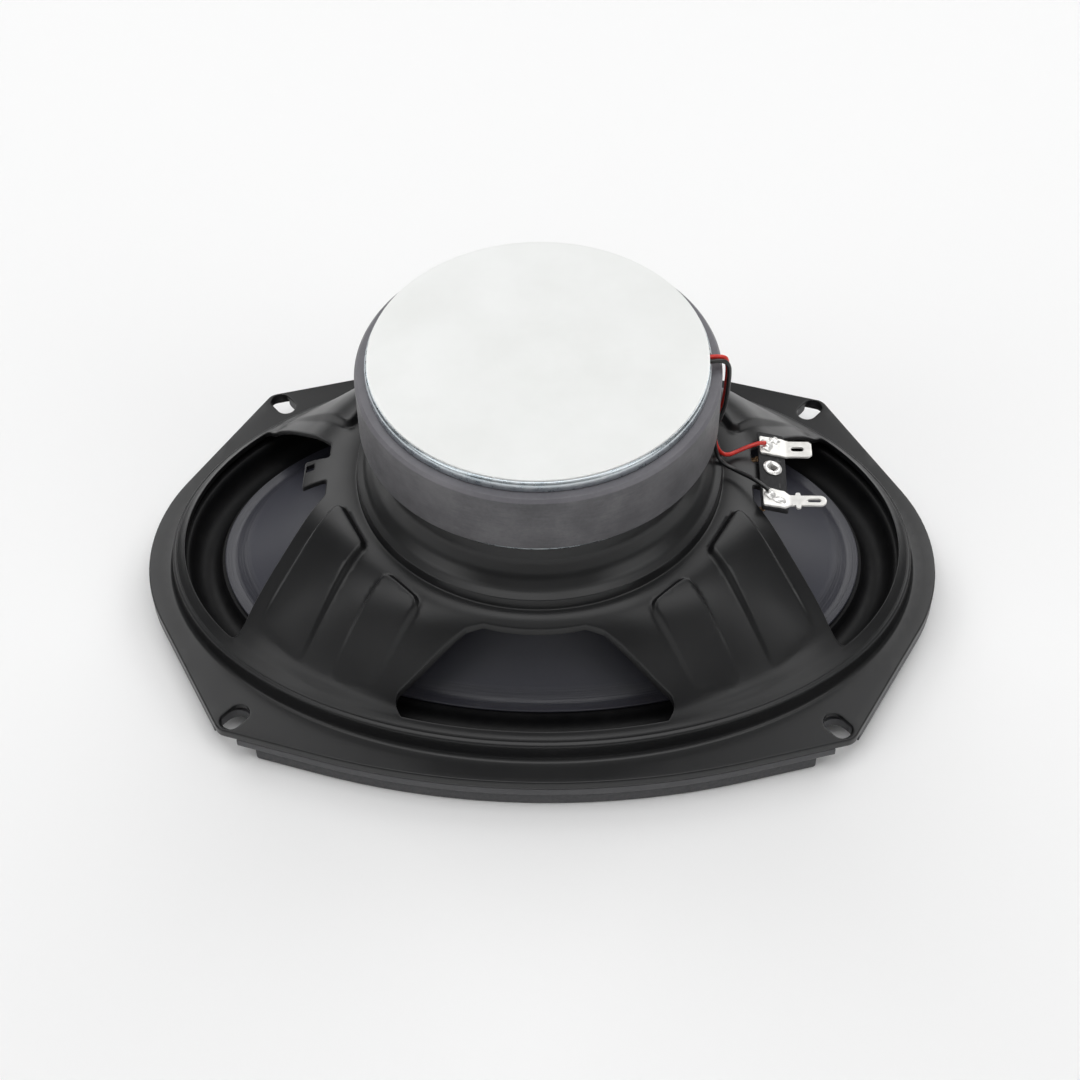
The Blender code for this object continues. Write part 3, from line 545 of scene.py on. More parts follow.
def build_materials():
    made = {"paint": paint_material()}

    m = Material("looks_trim_plastic", (0.05, 0.05, 0.053), 0.5)
    m.tint(m.noise(70, 5), (0.060, 0.060, 0.064), (0.075, 0.075, 0.079))
    m.gloss(m.noise(500, 4), 0.45, 0.6)
    m.bump(m.noise(3000, 2), 0.00003, 0.4)
    made["plastic"] = m.data

    m = Material("looks_gasket", (0.05, 0.05, 0.052), 0.72)
    m.colour(m.ramp(m.noise(900, 4), (0.3, (0.055, 0.055, 0.058)), (0.75, (0.082, 0.082, 0.085))))
    m.bump(m.voronoi(2600), 0.00008, 0.6)
    m.bump(m.noise(200, 3), 0.0001, 0.3)
    made["gasket"] = m.data

    m = Material("looks_surround", (0.005, 0.005, 0.0055), 0.5, Specular_IOR_Level=0.22)
    m.tint(m.noise(120, 4), (0.0035, 0.0035, 0.004), (0.0065, 0.0065, 0.007))
    m.gloss(m.noise(240, 4), 0.46, 0.56)
    m.bump(m.noise(1800, 3), 0.00004, 0.4)
    made["rubber"] = m.data

    # The cone: satin, blue-grey, with streaks of cement brushed round its outer band.
    m = Material("looks_cone", (0.028, 0.028, 0.04), 0.4)
    reach = m.radius((0.0915, 0.0565))
    band = m.math("MULTIPLY", m.spread(reach, 0.955, 0.975), 0.45)
    streak = m.node("ShaderNodeCombineXYZ")
    m.link(m.math("MULTIPLY", reach, 95.0), streak.inputs[0])
    x, y, z = m.xyz()
    m.link(m.math("ARCTAN2", y, x), streak.inputs[1])
    lines = m.noise(1.6, 5, 0.6, at=streak.outputs[0])
    skin = m.ramp(m.noise(60, 4), (0.3, (0.030, 0.031, 0.043)), (0.7, (0.036, 0.037, 0.050)))
    cement = m.ramp(lines, (0.35, (0.018, 0.018, 0.023)), (0.65, (0.040, 0.040, 0.048)))
    m.colour(m.mix(band, skin, cement))
    m.rough(m.mix(band, (0.42, 0.42, 0.42), (0.3, 0.3, 0.3)))
    m.bump(m.math("MULTIPLY", lines, band), 0.0003, 0.8)
    m.bump(m.noise(1500, 3), 0.00003, 0.4)
    made["cone"] = m.data

    m = Material("looks_spider", (0.5, 0.36, 0.1), 0.85, Sheen_Weight=0.3)
    weave = m.math("ADD", m.noise(1400, 1, stretch=(1, 0.12, 1)), m.noise(1400, 1, stretch=(0.12, 1, 1)))
    m.colour(m.ramp(weave, (0.7, (0.30, 0.20, 0.05)), (1.2, (0.60, 0.45, 0.14))))
    m.bump(weave, 0.0002, 0.8)
    made["spider"] = m.data

    # Bright zinc: bluish with soft crystalline mottling.
    m = Material("looks_zinc", (0.6, 0.63, 0.66), 0.28, 1.0)
    mottle = m.noise(300, 5, 0.6)
    m.colour(m.ramp(mottle, (0.3, (0.42, 0.48, 0.52)), (0.5, (0.56, 0.61, 0.64)), (0.75, (0.70, 0.73, 0.75))))
    m.gloss(m.noise(300, 4), 0.2, 0.38)
    m.bump(m.noise(700, 4), 0.00006, 0.5)
    made["zinc"] = m.data

    # Ground ferrite: mottled grey with fine grinding scratches round it. The top face and the upper chamfer
    # get lighter greys, a painted highlight where the light falls on top.
    m = Material("looks_ferrite", (0.075, 0.072, 0.08), 0.42)
    blotch = m.noise(85, 6, 0.6)
    fine = m.noise(900, 4, 0.6)
    scratch = m.noise(520, 2, 0.5, stretch=(0.35, 0.35, 5.0))
    tone = m.math("ADD", m.math("MULTIPLY", blotch, 0.6), m.math("MULTIPLY", fine, 0.25))
    tone = m.math("ADD", tone, m.math("MULTIPLY", scratch, 0.15))
    greys = (0.38, (0.066, 0.065, 0.070)), (0.5, (0.094, 0.092, 0.099)), (0.62, (0.128, 0.126, 0.132))
    side = m.ramp(tone, *greys)
    # face: the lighter greys of the painted highlight on the upward-facing top and chamfer.
    face = m.ramp(tone, (0.36, (0.120, 0.117, 0.130)), (0.64, (0.160, 0.156, 0.170)))
    _, _, z = m.xyz()
    edge = m.math("ADD", z, m.math("MULTIPLY", m.noise(45, 3), 0.0009))
    # Above about 89.2 mm the colour turns to face: painted highlight on the top, side greys below.
    m.colour(m.mix(m.spread(edge, 0.08915, 0.08935), side, face))
    m.gloss(fine, 0.36, 0.5)
    m.bump(scratch, 0.00005, 0.4)
    m.bump(fine, 0.00006, 0.4)
    made["ferrite"] = m.data

    m = Material("looks_label", (0.8, 0.81, 0.8), 0.38, Coat_Weight=0.15, Coat_Roughness=0.3)
    speck = m.spread(m.voronoi(330), 0.03, 0.05)
    paper = m.ramp(m.noise(45, 4), (0.3, (0.78, 0.79, 0.775)), (0.7, (0.83, 0.84, 0.83)))
    sparse = m.spread(m.noise(75, 1), 0.66, 0.68)
    dust = m.math("MULTIPLY", m.math("SUBTRACT", 1.0, speck), sparse)
    m.colour(m.mix(dust, paper, (0.32, 0.31, 0.29)))
    m.bump(m.noise(500, 3), 0.00002, 0.25)
    made["label"] = m.data

    m = Material("looks_steel", (0.55, 0.55, 0.57), 0.3, 1.0)
    m.tint(m.noise(260, 5), (0.42, 0.42, 0.44), (0.62, 0.62, 0.64))
    m.gloss(m.noise(400, 4), 0.22, 0.4)
    m.bump(m.noise(900, 3), 0.00004, 0.4)
    made["steel"] = m.data

    m = Material("looks_tin", (0.86, 0.85, 0.82), 0.36, 0.35)
    m.colour(m.ramp(m.noise(420, 3), (0.3, (0.74, 0.73, 0.70)), (0.62, (0.86, 0.85, 0.82))))
    m.gloss(m.noise(500, 3), 0.3, 0.44)
    m.bump(m.noise(700, 3), 0.00006, 0.4)
    made["tin"] = m.data

    m = Material("looks_solder", (0.88, 0.87, 0.85), 0.25, 0.5)
    m.colour(m.ramp(m.noise(900, 4), (0.3, (0.72, 0.71, 0.69)), (0.6, (0.90, 0.89, 0.87))))
    m.gloss(m.noise(700, 4), 0.18, 0.34)
    m.bump(m.noise(1100, 4), 0.0001, 0.7)
    made["solder"] = m.data

    m = Material("looks_board", (0.012, 0.012, 0.013), 0.72)
    ply = m.noise(700, 4, stretch=(1, 1, 7))
    m.tint(ply, (0.007, 0.007, 0.008), (0.020, 0.020, 0.022))
    m.bump(ply, 0.00012, 0.8)
    m.bump(m.noise(2600, 3), 0.00006, 0.6)
    made["board"] = m.data

    m = Material("looks_mark", (0.11, 0.11, 0.11), 0.7)
    m.tint(m.noise(2500, 3), (0.03, 0.03, 0.03), (0.07, 0.07, 0.07))
    made["mark"] = m.data

    for key, name, low, high in (
        ("red", "looks_wire_red", (0.50, 0.012, 0.008), (0.72, 0.03, 0.016)),
        ("black", "looks_wire_black", (0.006, 0.006, 0.006), (0.014, 0.014, 0.015)),
    ):
        m = Material(name, high, 0.32, Coat_Weight=0.2)
        m.tint(m.noise(300, 4), low, high)
        m.gloss(m.noise(500, 3), 0.28, 0.42)
        m.bump(m.noise(900, 3), 0.00004, 0.4)
        made[key] = m.data

    m = Material("looks_copper", (0.72, 0.30, 0.10), 0.3, 1.0)
    _, _, z = m.xyz()
    turns = m.math("SINE", m.math("MULTIPLY", z, 2 * math.pi / 0.00028))
    m.tint(m.noise(300, 4), (0.55, 0.20, 0.06), (0.80, 0.36, 0.14))
    m.bump(turns, 0.00006, 0.8)
    made["copper"] = m.data

    m = Material("looks_braid", (0.40, 0.24, 0.13), 0.45, 0.7)
    m.tint(m.noise(1600, 4), (0.22, 0.12, 0.06), (0.58, 0.38, 0.22))
    m.bump(m.noise(3800, 2), 0.0001, 0.8)
    made["braid"] = m.data

    m = Material("looks_former", (0.5, 0.27, 0.06), 0.3)
    m.tint(m.noise(150, 4), (0.42, 0.21, 0.04), (0.58, 0.33, 0.09))
    m.bump(m.noise(900, 2), 0.00002, 0.3)
    made["former"] = m.data

    m = Material("looks_dome", (0.05, 0.05, 0.055), 0.6, Sheen_Weight=0.3)
    weave = m.math("ADD", m.noise(2600, 1, stretch=(1, 0.15, 1)), m.noise(2600, 1, stretch=(0.15, 1, 1)))
    m.colour(m.ramp(weave, (0.7, (0.025, 0.025, 0.028)), (1.2, (0.09, 0.09, 0.095))))
    m.bump(weave, 0.00008, 0.7)
    made["dome"] = m.data
    return made


MAT = build_materials()


# ---------------------------------------------------------------- basket
def quarter_copies(outline):
    outline = np.array(outline, float)
    return [outline * (sx, sy) for sx in (1, -1) for sy in (1, -1)]


RIM_JOIN, LIP_WALL = 0.5, 1.62
PAD_LOOPS = [
    loop for pad in PADS for loop in quarter_copies(spaced(rounded(pad, 2.2, 6), 0.9))
]


def panel_height(xy, pads=True):
    """Height of the outer skin between the groove and the shelf."""
    radius = np.hypot(xy[:, 0], xy[:, 1])
    angle = np.arctan2(xy[:, 1], xy[:, 0])
    reach = oval(SHELF_OVAL, angle) - GROOVE_R
    share = np.clip((radius - GROOVE_R) / reach, 0, 1)
    window = (oval(WINDOW_OVAL, angle) - GROOVE_R) / reach
    height = GROOVE_Z - (GROOVE_Z - SHELF_Z) * ease(share**PANEL_EASE)
    lift = np.maximum(WINDOW_EDGE_Z - GROOVE_Z + (GROOVE_Z - SHELF_Z) * ease(window**PANEL_EASE), 0)
    near = ease((share - EDGE_LIFT_FROM) / (window - EDGE_LIFT_FROM))
    height = height + lift * np.where(share < window, near, (1 - share) / (1 - window))
    # Beside the end windows the spoke falls away straighter.
    rising = ease((share - SWELL_FROM) / (SWELL_PEAK - SWELL_FROM))
    falling = ease((1 - share) / (1 - SWELL_PEAK))
    first, last = np.radians(SWELL_ANGLES)
    folded = np.arctan2(np.abs(xy[:, 1]), np.abs(xy[:, 0]))
    height = height + SIDE_SWELL * np.minimum(rising, falling) * ease((last - folded) / (last - first))
    if pads:
        fade = ease((0.86 - share) / 0.66)
        depth = np.full(len(xy), -1e9)
        for loop in PAD_LOOPS:
            near = np.hypot(*(xy - loop.mean(0)).T) < 30
            far, inside = edge_distance(xy[near], loop)
            depth[near] = np.maximum(depth[near], np.where(inside, far, -far))
        height = height + PAD_RISE * fade * ease(depth / PAD_EDGE + 0.5)
    return height


def oval_arc(axes, start, end, count):
    angles = np.linspace(start, end, count + 1)
    radius = oval(axes, angles)
    return list(zip(radius * np.cos(angles), radius * np.sin(angles)))


def window_loops():
    tip = math.atan2(SIDE_WINDOW_TIP[1] - 3.0, SIDE_WINDOW_TIP[0] + 3.0)
    arc = oval_arc(WINDOW_OVAL, -tip, tip, 90)
    top_x, top_y = SIDE_WINDOW_TOP
    corners = arc + [SIDE_WINDOW_TIP, (top_x, top_y), (top_x, TAB_ROOT_HALF_WIDTH)]
    corners += [(TAB_END_X, TAB_HALF_WIDTH), (TAB_END_X, -TAB_HALF_WIDTH)]
    corners += [(top_x, -TAB_ROOT_HALF_WIDTH), (top_x, -top_y), (SIDE_WINDOW_TIP[0], -SIDE_WINDOW_TIP[1])]
    radii = [0.0] * len(arc) + [3.0, 1.4, 0.8, 0.7, 0.7, 0.8, 1.4, 3.0]
    side = spaced(rounded(corners, radii, 8), 0.8)
    tip = math.atan2(END_WINDOW_TIP[1] + 3.0, END_WINDOW_TIP[0] - 3.0)
    arc = oval_arc(WINDOW_OVAL, tip, math.pi - tip, 70)
    top_x, top_y = END_WINDOW_TOP
    top = oval_arc((WINDOW_TOP_R, WINDOW_TOP_R), math.radians(104), math.radians(76), 20)
    corners = arc + [(-END_WINDOW_TIP[0], END_WINDOW_TIP[1]), (-top_x, top_y)] + top
    corners += [(top_x, top_y), END_WINDOW_TIP]
    radii = [0.0] * len(arc) + [2.6, 1.6] + [0.0] * len(top) + [1.6, 2.6]
    end = spaced(rounded(corners, radii, 8), 0.8)
    half = TAB_HOLE / 2
    signs = ((1, 1), (-1, 1), (-1, -1), (1, -1))
    square = [(TAB_HOLE_AT[0] + a * half, TAB_HOLE_AT[1] + b * half) for a, b in signs]
    hole = spaced(rounded(square, 0.25, 4), 0.4)
    return [side, side * (-1, 1), end, end * (1, -1), hole, hole * (-1, 1)]


def triangulated(inner, outer, holes, extra):
    """Triangles in plan between two rings, leaving the holes open."""
    loops = [inner, outer, *holes]
    points, edges = [], []
    for loop in loops:
        first = len(points)
        points += [Vector(p) for p in loop]
        edges += [(first + i, first + (i + 1) % len(loop)) for i in range(len(loop))]
    points += [Vector(p) for p in extra]
    found, _, faces, _, _, _ = delaunay_2d_cdt(points, edges, [], 0, 1e-5)
    found = np.array(found)[:, :2]
    faces = np.array([f for f in faces if len(f) == 3])
    middle = found[faces].mean(1)
    keep = edge_distance(middle, outer)[1] & ~edge_distance(middle, inner)[1]
    for hole in holes:
        keep &= ~edge_distance(middle, hole)[1]
    faces = faces[keep]
    a, b, c = (found[faces[:, k]] for k in range(3))
    turn = (b[:, 0] - a[:, 0]) * (c[:, 1] - a[:, 1]) - (b[:, 1] - a[:, 1]) * (c[:, 0] - a[:, 0])
    faces[turn < 0] = faces[turn < 0][:, ::-1]
    used, index = np.unique(faces, return_inverse=True)
    return found[used], index.reshape(-1, 3)


def edge_drop(points, holes, radius):
    """How far a punched edge rounds over, for points near a hole."""
    drop = np.zeros(len(points))
    for hole in holes:
        near = (np.abs(points - hole.mean(0)) < np.ptp(hole, axis=0) / 2 + 4).all(1)
        far, _ = edge_distance(points[near], hole)
        t = np.clip(1 - far / radius, 0, 1)
        drop[near] = np.maximum(drop[near], radius * (1 - np.sqrt(1 - t * t)))
    return drop


def rings(angles, outer, inner):
    """Quads between rings of points, given as (radius at each angle, height) pairs."""
    out_points, in_points = [], []
    for (ro, zo), (ri, zi) in zip(outer, inner):
        for radius, z, store in ((ro, zo, out_points), (ri, zi, in_points)):
            z = np.broadcast_to(z, angles.shape)
            radius = np.broadcast_to(radius, angles.shape)
            store.append(np.stack([radius * np.cos(angles), radius * np.sin(angles), z], 1))
    count, steps = len(outer), len(angles)
    faces = []
    for j in range(count - 1):
        for i in range(steps):
            n = (i + 1) % steps
            faces.append((j * steps + i, (j + 1) * steps + i, (j + 1) * steps + n, j * steps + n))
    return np.concatenate(out_points), np.concatenate(in_points), faces


# Sections of the pressed sheet: (radius, z) for the neck, then (distance outside the step's
# oval, z) for the step, then (distance inside the rim, z) for the rim.
JOIN_R, JOIN_SHEET, PANEL_INSET = 53.4, 1.6, 1.8
NECK_TOP = [
    (31.0, 66.2), (45.35, 66.2), (45.6, 60.5), (47.4, 56.2),
    (50.0, 53.35), (52.35, 52.2), (52.62, 48.79), (JOIN_R, 48.79),
]
NECK_TOP_RADII = [0, 1.2, 7.0, 8.0, 5.0, 0.45, 0.4, 0]
NECK_UNDER = [
    (31.0, 64.7), (43.85, 64.7), (44.1, 60.3), (45.9, 55.4),
    (48.9, 52.2), (51.0, 51.2), (51.3, 47.3), (JOIN_R, 47.2),
]
NECK_UNDER_RADII = [0, 0.5, 5.0, 6.0, 4.0, 0.5, 0.8, 0]
STEP_OUTER = [
    (-1.9, 17.66), (-1.6, 17.48), (-1.44, 17.36), (-1.34, 17.24), (-1.28, 17.1), (-1.18, 17.0),
    (-1.0, 16.95), (-0.55, 16.8), (-0.34, 16.7), (-0.18, 16.52), (-0.06, 16.25), (0.02, 15.8),
    (0.15, 14.4), (0.32, 12.9), (0.45, 12.2), (0.65, 11.7), (0.95, 11.3), (1.35, 11.07), (1.8, 11.0),
]
STEP_INNER = [
    (-2.5, 16.15), (-2.4, 16.08), (-2.3, 16.0), (-2.2, 15.92), (-2.1, 15.84), (-2.0, 15.74),
    (-1.95, 15.6), (-1.85, 15.4), (-1.75, 15.2), (-1.65, 14.95), (-1.58, 14.7), (-1.52, 14.4),
    (-1.38, 13.0), (-1.2, 11.4), (-1.1, 10.7), (-0.95, 10.2), (-0.6, 9.75), (-0.1, 9.52), (1.8, 9.5),
]
RIM_OUTER = [
    (RIM_JOIN, 11.0), (0.4, 10.99), (0.28, 10.94), (0.18, 10.86), (0.1, 10.76), (0.04, 10.64),
    (0.0, 10.5), (0.0, 9.85), (0.0, 9.0), (0.0, 8.3), (0.05, 8.05), (0.2, 7.91), (0.7, 7.88),
]
RIM_INNER = [
    (LIP_WALL, 9.5), (1.6, 9.49), (1.58, 9.45), (1.56, 9.4), (1.54, 9.33), (1.52, 9.24),
    (1.51, 9.1), (1.5, 8.9), (1.5, 8.6), (1.5, 8.3), (1.5, 8.1), (1.45, 7.95), (1.4, 7.88),
]


def build_basket():
    angles = rim_angles()
    cos, sin = np.cos(angles), np.sin(angles)
    parts = []

    # Neck and ring.
    join_r = JOIN_R
    top = rounded(NECK_TOP, NECK_TOP_RADII, 7, False)
    under = rounded(NECK_UNDER, NECK_UNDER_RADII, 7, False)
    outer = [(r, z) for r, z in top]
    inner = [(r, z) for r, z in resampled(under, len(top))]
    join_xy = np.stack([join_r * cos, join_r * sin], 1)
    join_z = panel_height(join_xy, False)
    outer[-1] = (join_r, join_z)
    inner[-1] = (join_r, join_z - JOIN_SHEET)
    parts.append(rings(angles, outer, inner))

    # Panel with windows and pads.
    shelf_r = oval(grown(SHELF_OVAL, -PANEL_INSET), angles)
    shelf_xy = np.stack([shelf_r * cos, shelf_r * sin], 1)
    holes = window_loops()
    big, small = holes[:4], holes[4:]
    grid = []
    fine = np.radians(np.arange(0, 360, 0.75))
    far = oval(grown(SHELF_OVAL, -PANEL_INSET), fine)
    steps = np.r_[np.linspace(0.0, 0.16, 9)[1:], np.linspace(0.16, 1.0, 30)[1:-1]]
    for k, share in enumerate(steps):
        shift = 0.5 * (k % 2) * math.radians(0.75)
        r = join_r + (np.interp(fine + shift, fine, far, period=2 * np.pi) - join_r) * share
        grid.append(np.stack([r * np.cos(fine + shift), r * np.sin(fine + shift)], 1))
    grid = np.concatenate(grid)
    for loops, gap in ((big, 1.35), (small, 0.9)):
        for loop in loops:
            near, inside = edge_distance(grid, loop)
            grid = grid[(near > gap) & ~inside]
    ridge = []
    for loop in PAD_LOOPS:
        near, _ = edge_distance(grid, loop)
        grid = grid[near > PAD_EDGE / 2 + 0.35]
        for by in (-0.85, -0.6, -0.35, -0.12, 0.12, 0.35, 0.6, 0.85):
            ridge.append(offset_loop(loop, by))
    ridge = np.concatenate(ridge)
    for loops, gap in ((big, 1.2), (small, 0.9)):
        for loop in loops:
            near, inside = edge_distance(ridge, loop)
            ridge = ridge[(near > gap) & ~inside]
    hem = []
    for loop in big:
        for by in (0.05, 0.14, 0.27, 0.45, 0.72, 1.05):
            hem.append(offset_loop(loop, by))
    for loop in small:
        for by in (0.05, 0.16, 0.3, 0.6):
            hem.append(offset_loop(loop, by))
    extra = np.concatenate([grid, ridge, *hem])
    keep = np.ones(len(extra), bool)
    for loop, way in ((join_xy, False), (shelf_xy, True)):
        near, inside = edge_distance(extra, loop)
        keep &= (near > 0.2) & (inside == way)
    for loop in holes:
        near, inside = edge_distance(extra, loop)
        keep &= ~inside & (near > 0.03)
    plan, faces = triangulated(join_xy, shelf_xy, holes, extra[keep])
    height = panel_height(plan)
    radius = np.hypot(plan[:, 0], plan[:, 1])
    nearby = plan * ((radius + 0.5) / radius)[:, None]
    slope = np.abs(panel_height(nearby, False) - panel_height(plan, False)) / 0.5
    at_join = np.abs(radius - join_r) < 1e-3
    under = height - SHEET * np.sqrt(1 + np.minimum(slope, 1.9) ** 2)
    under = np.where(at_join, height - JOIN_SHEET, under)
    height = height - edge_drop(plan, big, 0.35) - edge_drop(plan, small, 0.2)
    parts.append((np.c_[plan, height], np.c_[plan, under], [tuple(f) for f in faces]))

    # Shelf edge, step and the start of the flange.
    shelf_z = panel_height(shelf_xy)
    step_r = oval(STEP_OVAL, angles)
    under_z = under[np.argmin(((shelf_xy[:, None, :] - plan[None]) ** 2).sum(2), axis=1)]
    outer = [(shelf_r, shelf_z)] + [(step_r + d, z) for d, z in STEP_OUTER]
    inner = [(shelf_r, under_z)] + [(step_r + d, z) for d, z in STEP_INNER]
    parts.append(rings(angles, outer, inner))

    # Flange with the four ear holes.
    start_r = step_r + STEP_OUTER[-1][0]
    start_xy = np.stack([start_r * cos, start_r * sin], 1)
    edge_in = np.array([flange_radius(a, RIM_JOIN) for a in angles])
    edge_xy = np.stack([edge_in * cos, edge_in * sin], 1)
    slots = []
    for sx in (1, -1):
        for sy in (1, -1):
            turn = math.radians(EAR_TURN_DEG) * sx * sy
            slots.append(slot_loop((sx * EAR_HOLE[0], sy * EAR_HOLE[1]), *EAR_SLOT, turn))
    grid = []
    for share in (0.25, 0.5, 0.75):
        r = start_r * (1 - share) + edge_in * share
        grid.append(np.stack([r * cos, r * sin], 1)[::2])
    grid = np.concatenate(grid)
    for loop in slots:
        near, inside = edge_distance(grid, loop)
        grid = grid[(near > 1.6) & ~inside]
    hem = np.concatenate([offset_loop(loop, by) for loop in slots for by in (0.04, 0.1, 0.18, 0.5, 1.1)])
    near, inside = edge_distance(hem, edge_xy)
    hem = hem[inside & (near > 0.05)]
    plan_f, faces_f = triangulated(start_xy, edge_xy, slots, np.concatenate([grid, hem]))
    top_z = FLANGE_Z - edge_drop(plan_f, slots, 0.2)
    # Under the flange the sheet stops at the lip's inner wall.
    turn_f, r_f = np.arctan2(plan_f[:, 1], plan_f[:, 0]), np.hypot(plan_f[:, 0], plan_f[:, 1])
    low_r, rim_r, wall_r = (
        np.array([flange_radius(a, d) for a in turn_f]) for d in (2.6, RIM_JOIN, LIP_WALL)
    )
    drawn = low_r + (r_f - low_r) * (wall_r - low_r) / (rim_r - low_r)
    under_f = plan_f * (np.where(r_f > low_r, drawn, r_f) / r_f)[:, None]
    under_z = np.full(len(plan_f), FLANGE_Z - SHEET)
    parts.append((np.c_[plan_f, top_z], np.c_[under_f, under_z], [tuple(f) for f in faces_f]))

    # Rim and lip.
    insets = {inset for inset, _ in RIM_OUTER + RIM_INNER}
    rim = {inset: np.array([flange_radius(a, inset) for a in angles]) for inset in insets}
    parts.append(rings(angles, [(rim[d], z) for d, z in RIM_OUTER], [(rim[d], z) for d, z in RIM_INNER]))

    # Join the parts, give the sheet its underside, and close every edge.
    out_points = np.concatenate([p[0] for p in parts])
    in_points = np.concatenate([p[1] for p in parts])
    faces, first = [], 0
    for p in parts:
        faces += [tuple(first + i for i in f) for f in p[2]]
        first += len(p[0])
    key = np.round(out_points[:, :2], 3).dot([1, 1000]) + 1e7 * np.round(out_points[:, 2], 2)
    _, keep, index = np.unique(key, return_index=True, return_inverse=True)
    out_points, in_points = out_points[keep], in_points[keep]
    welded = []
    for f in faces:
        g = list(dict.fromkeys(int(index[i]) for i in f))
        if len(g) > 2:
            welded.append(tuple(g))
    edges = {}
    for f in welded:
        for a, b in zip(f, f[1:] + f[:1]):
            edges[(a, b)] = edges.get((a, b), 0) + 1
    count = len(out_points)
    final = list(welded) + [tuple(i + count for i in reversed(f)) for f in welded]
    for a, b in edges:
        if (b, a) not in edges:
            final.append((b, a, a + count, b + count))
    points = np.concatenate([out_points, in_points])
    obj = make_object("basket_shell", points, final, MAT["paint"], ROOT, "basket", "basket_paint", 42.0)
    fix_normals(obj)
    return obj


build_basket()


# ---------------------------------------------------------------- trim ring and gasket
def build_trim():
    angles = rim_angles()
    low, high = TRIM_Z
    rim = {d: {float(a): flange_radius(a, d) for a in angles} for d in (0.0, 0.1, 0.45, 1.2)}

    def section(angle):
        opening = float(oval(TRIM_OPENING, angle))
        edge, near, back, deep = (rim[d][angle] for d in (0.0, 0.1, 0.45, 1.2))
        return [
            (opening + 0.3, high),
            (deep, high),
            (back, high - 0.02),
            (near, high - 0.1),
            (edge, high - 0.35),
            (edge, (low + high) / 2),
            (edge, low + 0.75),
            (near, low + 0.4),
            (back, low + 0.12),
            (deep, low),
            (opening + 2.2, low),
            (opening + 0.9, low + 0.06),
            (opening + 0.25, low + 0.35),
            (opening, low + 0.9),
            (opening, high - 0.3),
        ]

    points, faces = swept_mesh(angles, section)
    points = np.array(points)
    ring = make_object(
        "trim_ring_body", points, faces, MAT["plastic"], ROOT, "front_trim_ring", "trim_plastic"
    )
    fix_normals(ring)
    line = math.radians(EAR_TURN_DEG)
    middle = (TRIM_NOTCH_REACH - EAR_SLOT[1] / 2) / 2
    length = TRIM_NOTCH_REACH + EAR_SLOT[1] / 2
    x, y = EAR_HOLE[0] + middle * math.cos(line), EAR_HOLE[1] + middle * math.sin(line)
    for sx in (1, -1):
        for sy in (1, -1):
            cut_prism(ring, slot_loop((sx * x, sy * y), TRIM_NOTCH_WIDTH, length, line * sx * sy), 2.0, 10.0)
    for sign, side in ((1, "back"), (-1, "front")):
        build_segment(sign, side)


def cut_prism(obj, loop, low, high):
    """Cuts a prism out of an object and drops the cutter."""
    count = len(loop)
    points = [(x, y, low) for x, y in loop] + [(x, y, high) for x, y in loop]
    faces = [tuple(range(count)), tuple(range(2 * count - 1, count - 1, -1))]
    faces += [(i, (i + 1) % count, count + (i + 1) % count, count + i) for i in range(count)]
    mesh = bpy.data.meshes.new("cutter")
    mesh.from_pydata(np.array(points, float) * MM, [], faces)
    cutter = bpy.data.objects.new("cutter", mesh)
    bpy.context.scene.collection.objects.link(cutter)
    fix_normals(cutter)
    boolean = obj.modifiers.new("cut", "BOOLEAN")
    boolean.object, boolean.solver = cutter, "EXACT"
    graph = bpy.context.evaluated_depsgraph_get()
    made = bpy.data.meshes.new_from_object(obj.evaluated_get(graph))
    obj.modifiers.remove(boolean)
    old = obj.data
    obj.data = made
    obj.data.set_sharp_from_angle(angle=math.radians(38))
    bpy.data.meshes.remove(old)
    bpy.data.objects.remove(cutter)


def outline_plate(name, loop, low, high, edge, material, body=ROOT, **kw):
    """A flat plate with rounded long edges, from its outline."""
    rows = []
    for inset, z in ((edge, low), (edge * 0.3, low + edge * 0.3), (0.0, low + edge)):
        rows.append((inset, z))
    rows += [(i, high + low - z) for i, z in reversed(rows)]
    area = 0.5 * np.sum(loop[:, 0] * np.roll(loop[:, 1], -1) - np.roll(loop[:, 0], -1) * loop[:, 1])
    tangent = np.roll(loop, -1, 0) - np.roll(loop, 1, 0)
    tangent /= np.maximum(np.linalg.norm(tangent, axis=1), 1e-9)[:, None]
    inward = np.stack([-tangent[:, 1], tangent[:, 0]], 1) * np.sign(area)
    points = np.concatenate([np.c_[loop + inward * i, np.full(len(loop), z)] for i, z in rows])
    count = len(loop)
    faces = [tuple(range(count)), tuple(range(5 * count, 6 * count))[::-1]]
    for j in range(5):
        for i in range(count):
            n = (i + 1) % count
            faces.append((j * count + i, j * count + n, (j + 1) * count + n, (j + 1) * count + i))
    obj = make_object(name, points, faces, material, body, **kw)
    fix_normals(obj)
    return obj


def build_segment(sign, side):
    outer, inner = [], []
    for i in range(81):
        x = SEGMENT_HALF_LENGTH * (2 * i / 80 - 1)
        low, high = math.radians(25), math.pi / 2
        for _ in range(40):
            mid = (low + high) / 2
            if flange_radius(mid, 0.7) * math.cos(mid) > abs(x):
                low = mid
            else:
                high = mid
        y = flange_radius(low, 0.7) * math.sin(low)
        outer.append((x, y))
        inner.append((x * 0.985, y - SEGMENT_WIDTH))
    corners = outer + inner[::-1]
    radii = [0.0] * len(corners)
    for i in (0, 80, 81, 161):
        radii[i] = 0.9
    loop = spaced(rounded(corners, radii, 6), 2.5) * (1, sign)
    outline_plate(
        f"gasket_{side}", loop, 0.0, 4.68, 0.35, MAT["gasket"],
        replaces=f"gasket_segment_{side}", slot="gasket_foam",
    )


build_trim()


